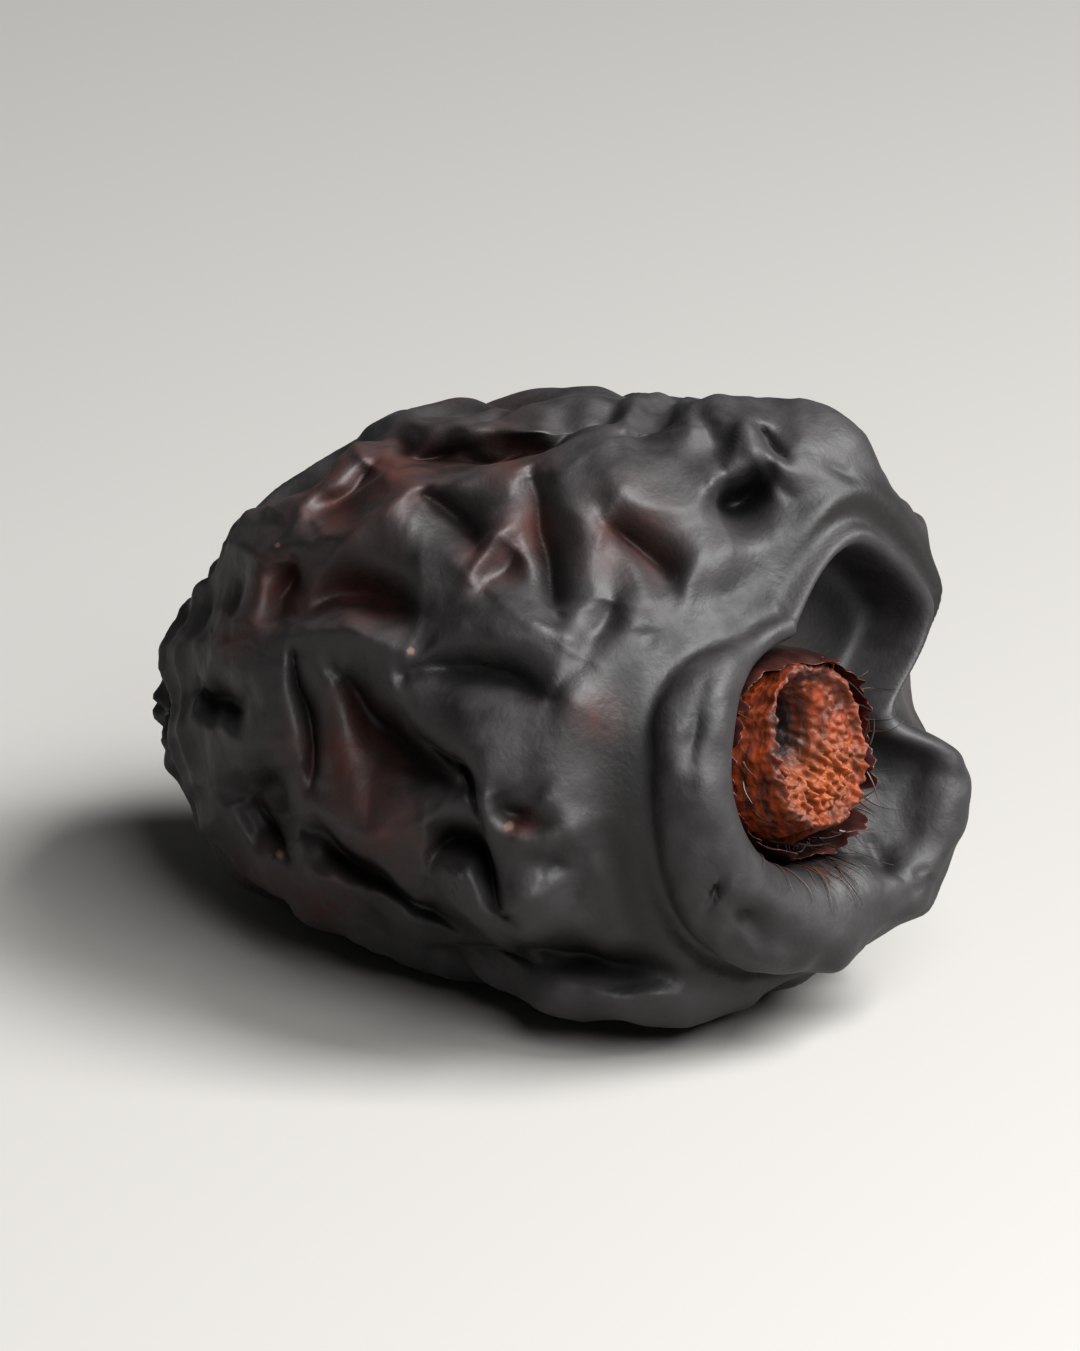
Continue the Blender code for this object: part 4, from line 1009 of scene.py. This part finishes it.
def dryFibre():
    f = fibreFinish
    material, tree, shader = newFinish("dry calyx fibre", {
        "Roughness": 0.6, "Specular IOR Level": 0.3, "Subsurface Weight": 0.1,
        "Subsurface Radius": (1.0, 0.35, 0.12), "Subsurface Scale": 0.8 * mm})
    granular, rim, holeShade = (
        addNode(tree, "ShaderNodeAttribute", attribute_name=name).outputs["Fac"]
        for name in ("granular", "rim", "holeShade"))
    along = addNode(tree, "ShaderNodeAttribute", attribute_name="fibrePlace").outputs["Vector"]
    place = addNode(tree, "ShaderNodeTexCoord").outputs["Object"]
    streak = addNode(tree, "ShaderNodeTexNoise",
                     {"Scale": f["streaks"], "Detail": 4.0, "Roughness": 0.6},
                     {"Vector": along}).outputs["Fac"]
    grain = addNode(tree, "ShaderNodeTexVoronoi", {"Scale": 1.0 / (f["grain"] * mm)},
                    {"Vector": place}).outputs["Distance"]
    speck = addNode(tree, "ShaderNodeTexNoise", {"Scale": 1.0 / (f["speck"] * mm), "Detail": 3.0},
                    {"Vector": place}).outputs["Fac"]
    lightShare = addNode(tree, "ShaderNodeMapRange", {"From Min": 0.38, "From Max": 0.66},
                         {"Value": streak}).outputs["Result"]
    colour = addNode(tree, "ShaderNodeMix", {"A": linear(f["dark"]), "B": linear(f["main"])},
                     {"Factor": lightShare}, data_type="RGBA").outputs["Result"]
    for tint, share, uneven in (("light", granular, speck), ("rim", rim, streak)):
        tintShare = addNode(tree, "ShaderNodeMath", None, {0: share, 1: uneven},
                            operation="MULTIPLY").outputs[0]
        colour = addNode(tree, "ShaderNodeMix", {"B": linear(f[tint])},
                         {"Factor": tintShare, "A": colour}, data_type="RGBA").outputs["Result"]
    holeShaded = addNode(tree, "ShaderNodeMix", {"B": linear(f["deep"])},
                    {"Factor": holeShade, "A": colour}, data_type="RGBA").outputs["Result"]
    tree.links.new(holeShaded, shader.inputs["Base Color"])
    height = addNode(tree, "ShaderNodeMath", {1: 0.6}, {0: streak, 2: grain},
                     operation="MULTIPLY_ADD").outputs[0]
    bump = addNode(tree, "ShaderNodeBump", {"Strength": 0.5, "Distance": f["depth"] * mm},
                   {"Height": height}).outputs["Normal"]
    tree.links.new(bump, shader.inputs["Normal"])
    return material


# torn dry membrane: thin, dark red, lighter where the light comes through its torn edge
membraneFinish = {"dark": "#0a0302", "main": "#1e0705", "edge": "#3f1a13", "cloud": 0.9}


def tornMembrane():
    f = membraneFinish
    material, tree, shader = newFinish("torn dry membrane", {
        "Roughness": 0.42, "Subsurface Weight": 0.08,
        "Subsurface Radius": (1.0, 0.2, 0.1), "Subsurface Scale": 0.3 * mm})
    place = addNode(tree, "ShaderNodeTexCoord").outputs["Object"]
    cloud = addNode(tree, "ShaderNodeTexNoise", {"Scale": 1.0 / (f["cloud"] * mm), "Detail": 4.0},
                    {"Vector": place}).outputs["Fac"]
    share = addNode(tree, "ShaderNodeMapRange", {"From Min": 0.35, "From Max": 0.65},
                    {"Value": cloud}).outputs["Result"]
    base = addNode(tree, "ShaderNodeMix", {"A": linear(f["dark"]), "B": linear(f["main"])},
                   {"Factor": share}, data_type="RGBA").outputs["Result"]
    edge = addNode(tree, "ShaderNodeAttribute", attribute_name="edge").outputs["Fac"]
    edgeShare = addNode(tree, "ShaderNodeMath", None, {0: edge, 1: cloud},
                        operation="MULTIPLY").outputs[0]
    colour = addNode(tree, "ShaderNodeMix", {"B": linear(f["edge"])},
                     {"Factor": edgeShare, "A": base}, data_type="RGBA").outputs["Result"]
    tree.links.new(colour, shader.inputs["Base Color"])
    return material


# loose threads of the calyx: dull dry fibre, nearly black in some stretches and rust in others
threadFinish = {"dark": "#0d0504", "rust": "#4c3026", "cloud": 1.4}


def looseThread():
    f = threadFinish
    material, tree, shader = newFinish("loose calyx thread", {"Roughness": 0.45})
    place = addNode(tree, "ShaderNodeTexCoord").outputs["Object"]
    cloud = addNode(tree, "ShaderNodeTexNoise", {"Scale": 1.0 / (f["cloud"] * mm), "Detail": 2.0},
                    {"Vector": place}).outputs["Fac"]
    share = addNode(tree, "ShaderNodeMapRange", {"From Min": 0.4, "From Max": 0.65},
                    {"Value": cloud}).outputs["Result"]
    base = addNode(tree, "ShaderNodeMix", {"A": linear(f["dark"]), "B": linear(f["rust"])},
                   {"Factor": share}, data_type="RGBA").outputs["Result"]
    tree.links.new(base, shader.inputs["Base Color"])
    return material


print("materials")
finishes = ((dateSkin, waxySkin(), "skin"), (calyxStub, dryFibre(), "fibre"),
            (calyxMembrane, tornMembrane(), "fibre"), (calyxFibres, looseThread(), "fibre"))
for piece, finish, slot in finishes:
    piece.data.materials.clear()
    piece.data.materials.append(finish)
    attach(piece, "root")
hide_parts("fruit")
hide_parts("calyx_remnant")

# a floor of grey paper, matt and even, and how bright the surroundings are
stagePlan = {"paper": "#908e8b", "size": 3.0, "world": 0.06, "lampAim": (0.0, 0.0, 0.01)}


def addFloor():
    bpy.ops.object.select_all(action="DESELECT")
    bpy.ops.mesh.primitive_plane_add(size=stagePlan["size"])
    floor = bpy.context.object
    floor.name = "floor"
    allOver = {"Base Color": linear(stagePlan["paper"]), "Roughness": 0.8}
    floor.data.materials.append(newFinish("matt grey paper", allOver)[0])


lightPlan = {
    "overhead": {"place": (0.20, 0.07, 0.25), "size": 0.16, "watts": 3.2},
    "front": {"place": (0.187, -0.109, 0.205), "size": 0.16, "watts": 1.0},
}
cameraPlan = {"azimuth": 36.0, "elevation": 20.0, "distance": 0.40, "lens": 305.0,
              "aim": (0.0, 0.0, 0.0098)}


def aimAt(thing, target):
    away = Vector(target) - thing.location
    thing.rotation_euler = away.to_track_quat("-Z", "Y").to_euler()


def addLights():
    for name, plan in lightPlan.items():
        light = bpy.data.lights.new(name, "AREA")
        light.size = plan["size"]
        light.energy = plan["watts"]
        lamp = bpy.data.objects.new(name, light)
        bpy.context.scene.collection.objects.link(lamp)
        lamp.location = plan["place"]
        aimAt(lamp, stagePlan["lampAim"])
    world = bpy.data.worlds.new("studio")
    world.use_nodes = True
    background = world.node_tree.nodes["Background"].inputs
    background["Color"].default_value = (1.0, 1.0, 1.0, 1.0)
    background["Strength"].default_value = stagePlan["world"]
    bpy.context.scene.world = world


def addCamera():
    back = Vector(viewAxes(cameraPlan)[2])
    camera = bpy.data.cameras.new("camera")
    camera.lens = cameraPlan["lens"]
    camera.clip_start = 5.0 * mm
    holder = bpy.data.objects.new("camera", camera)
    bpy.context.scene.collection.objects.link(holder)
    holder.location = Vector(cameraPlan["aim"]) + back * cameraPlan["distance"]
    aimAt(holder, cameraPlan["aim"])
    bpy.context.scene.camera = holder


print("stage, lights and camera")
addFloor()
addLights()
addCamera()
bpy.context.scene.view_settings.view_transform = "Standard"
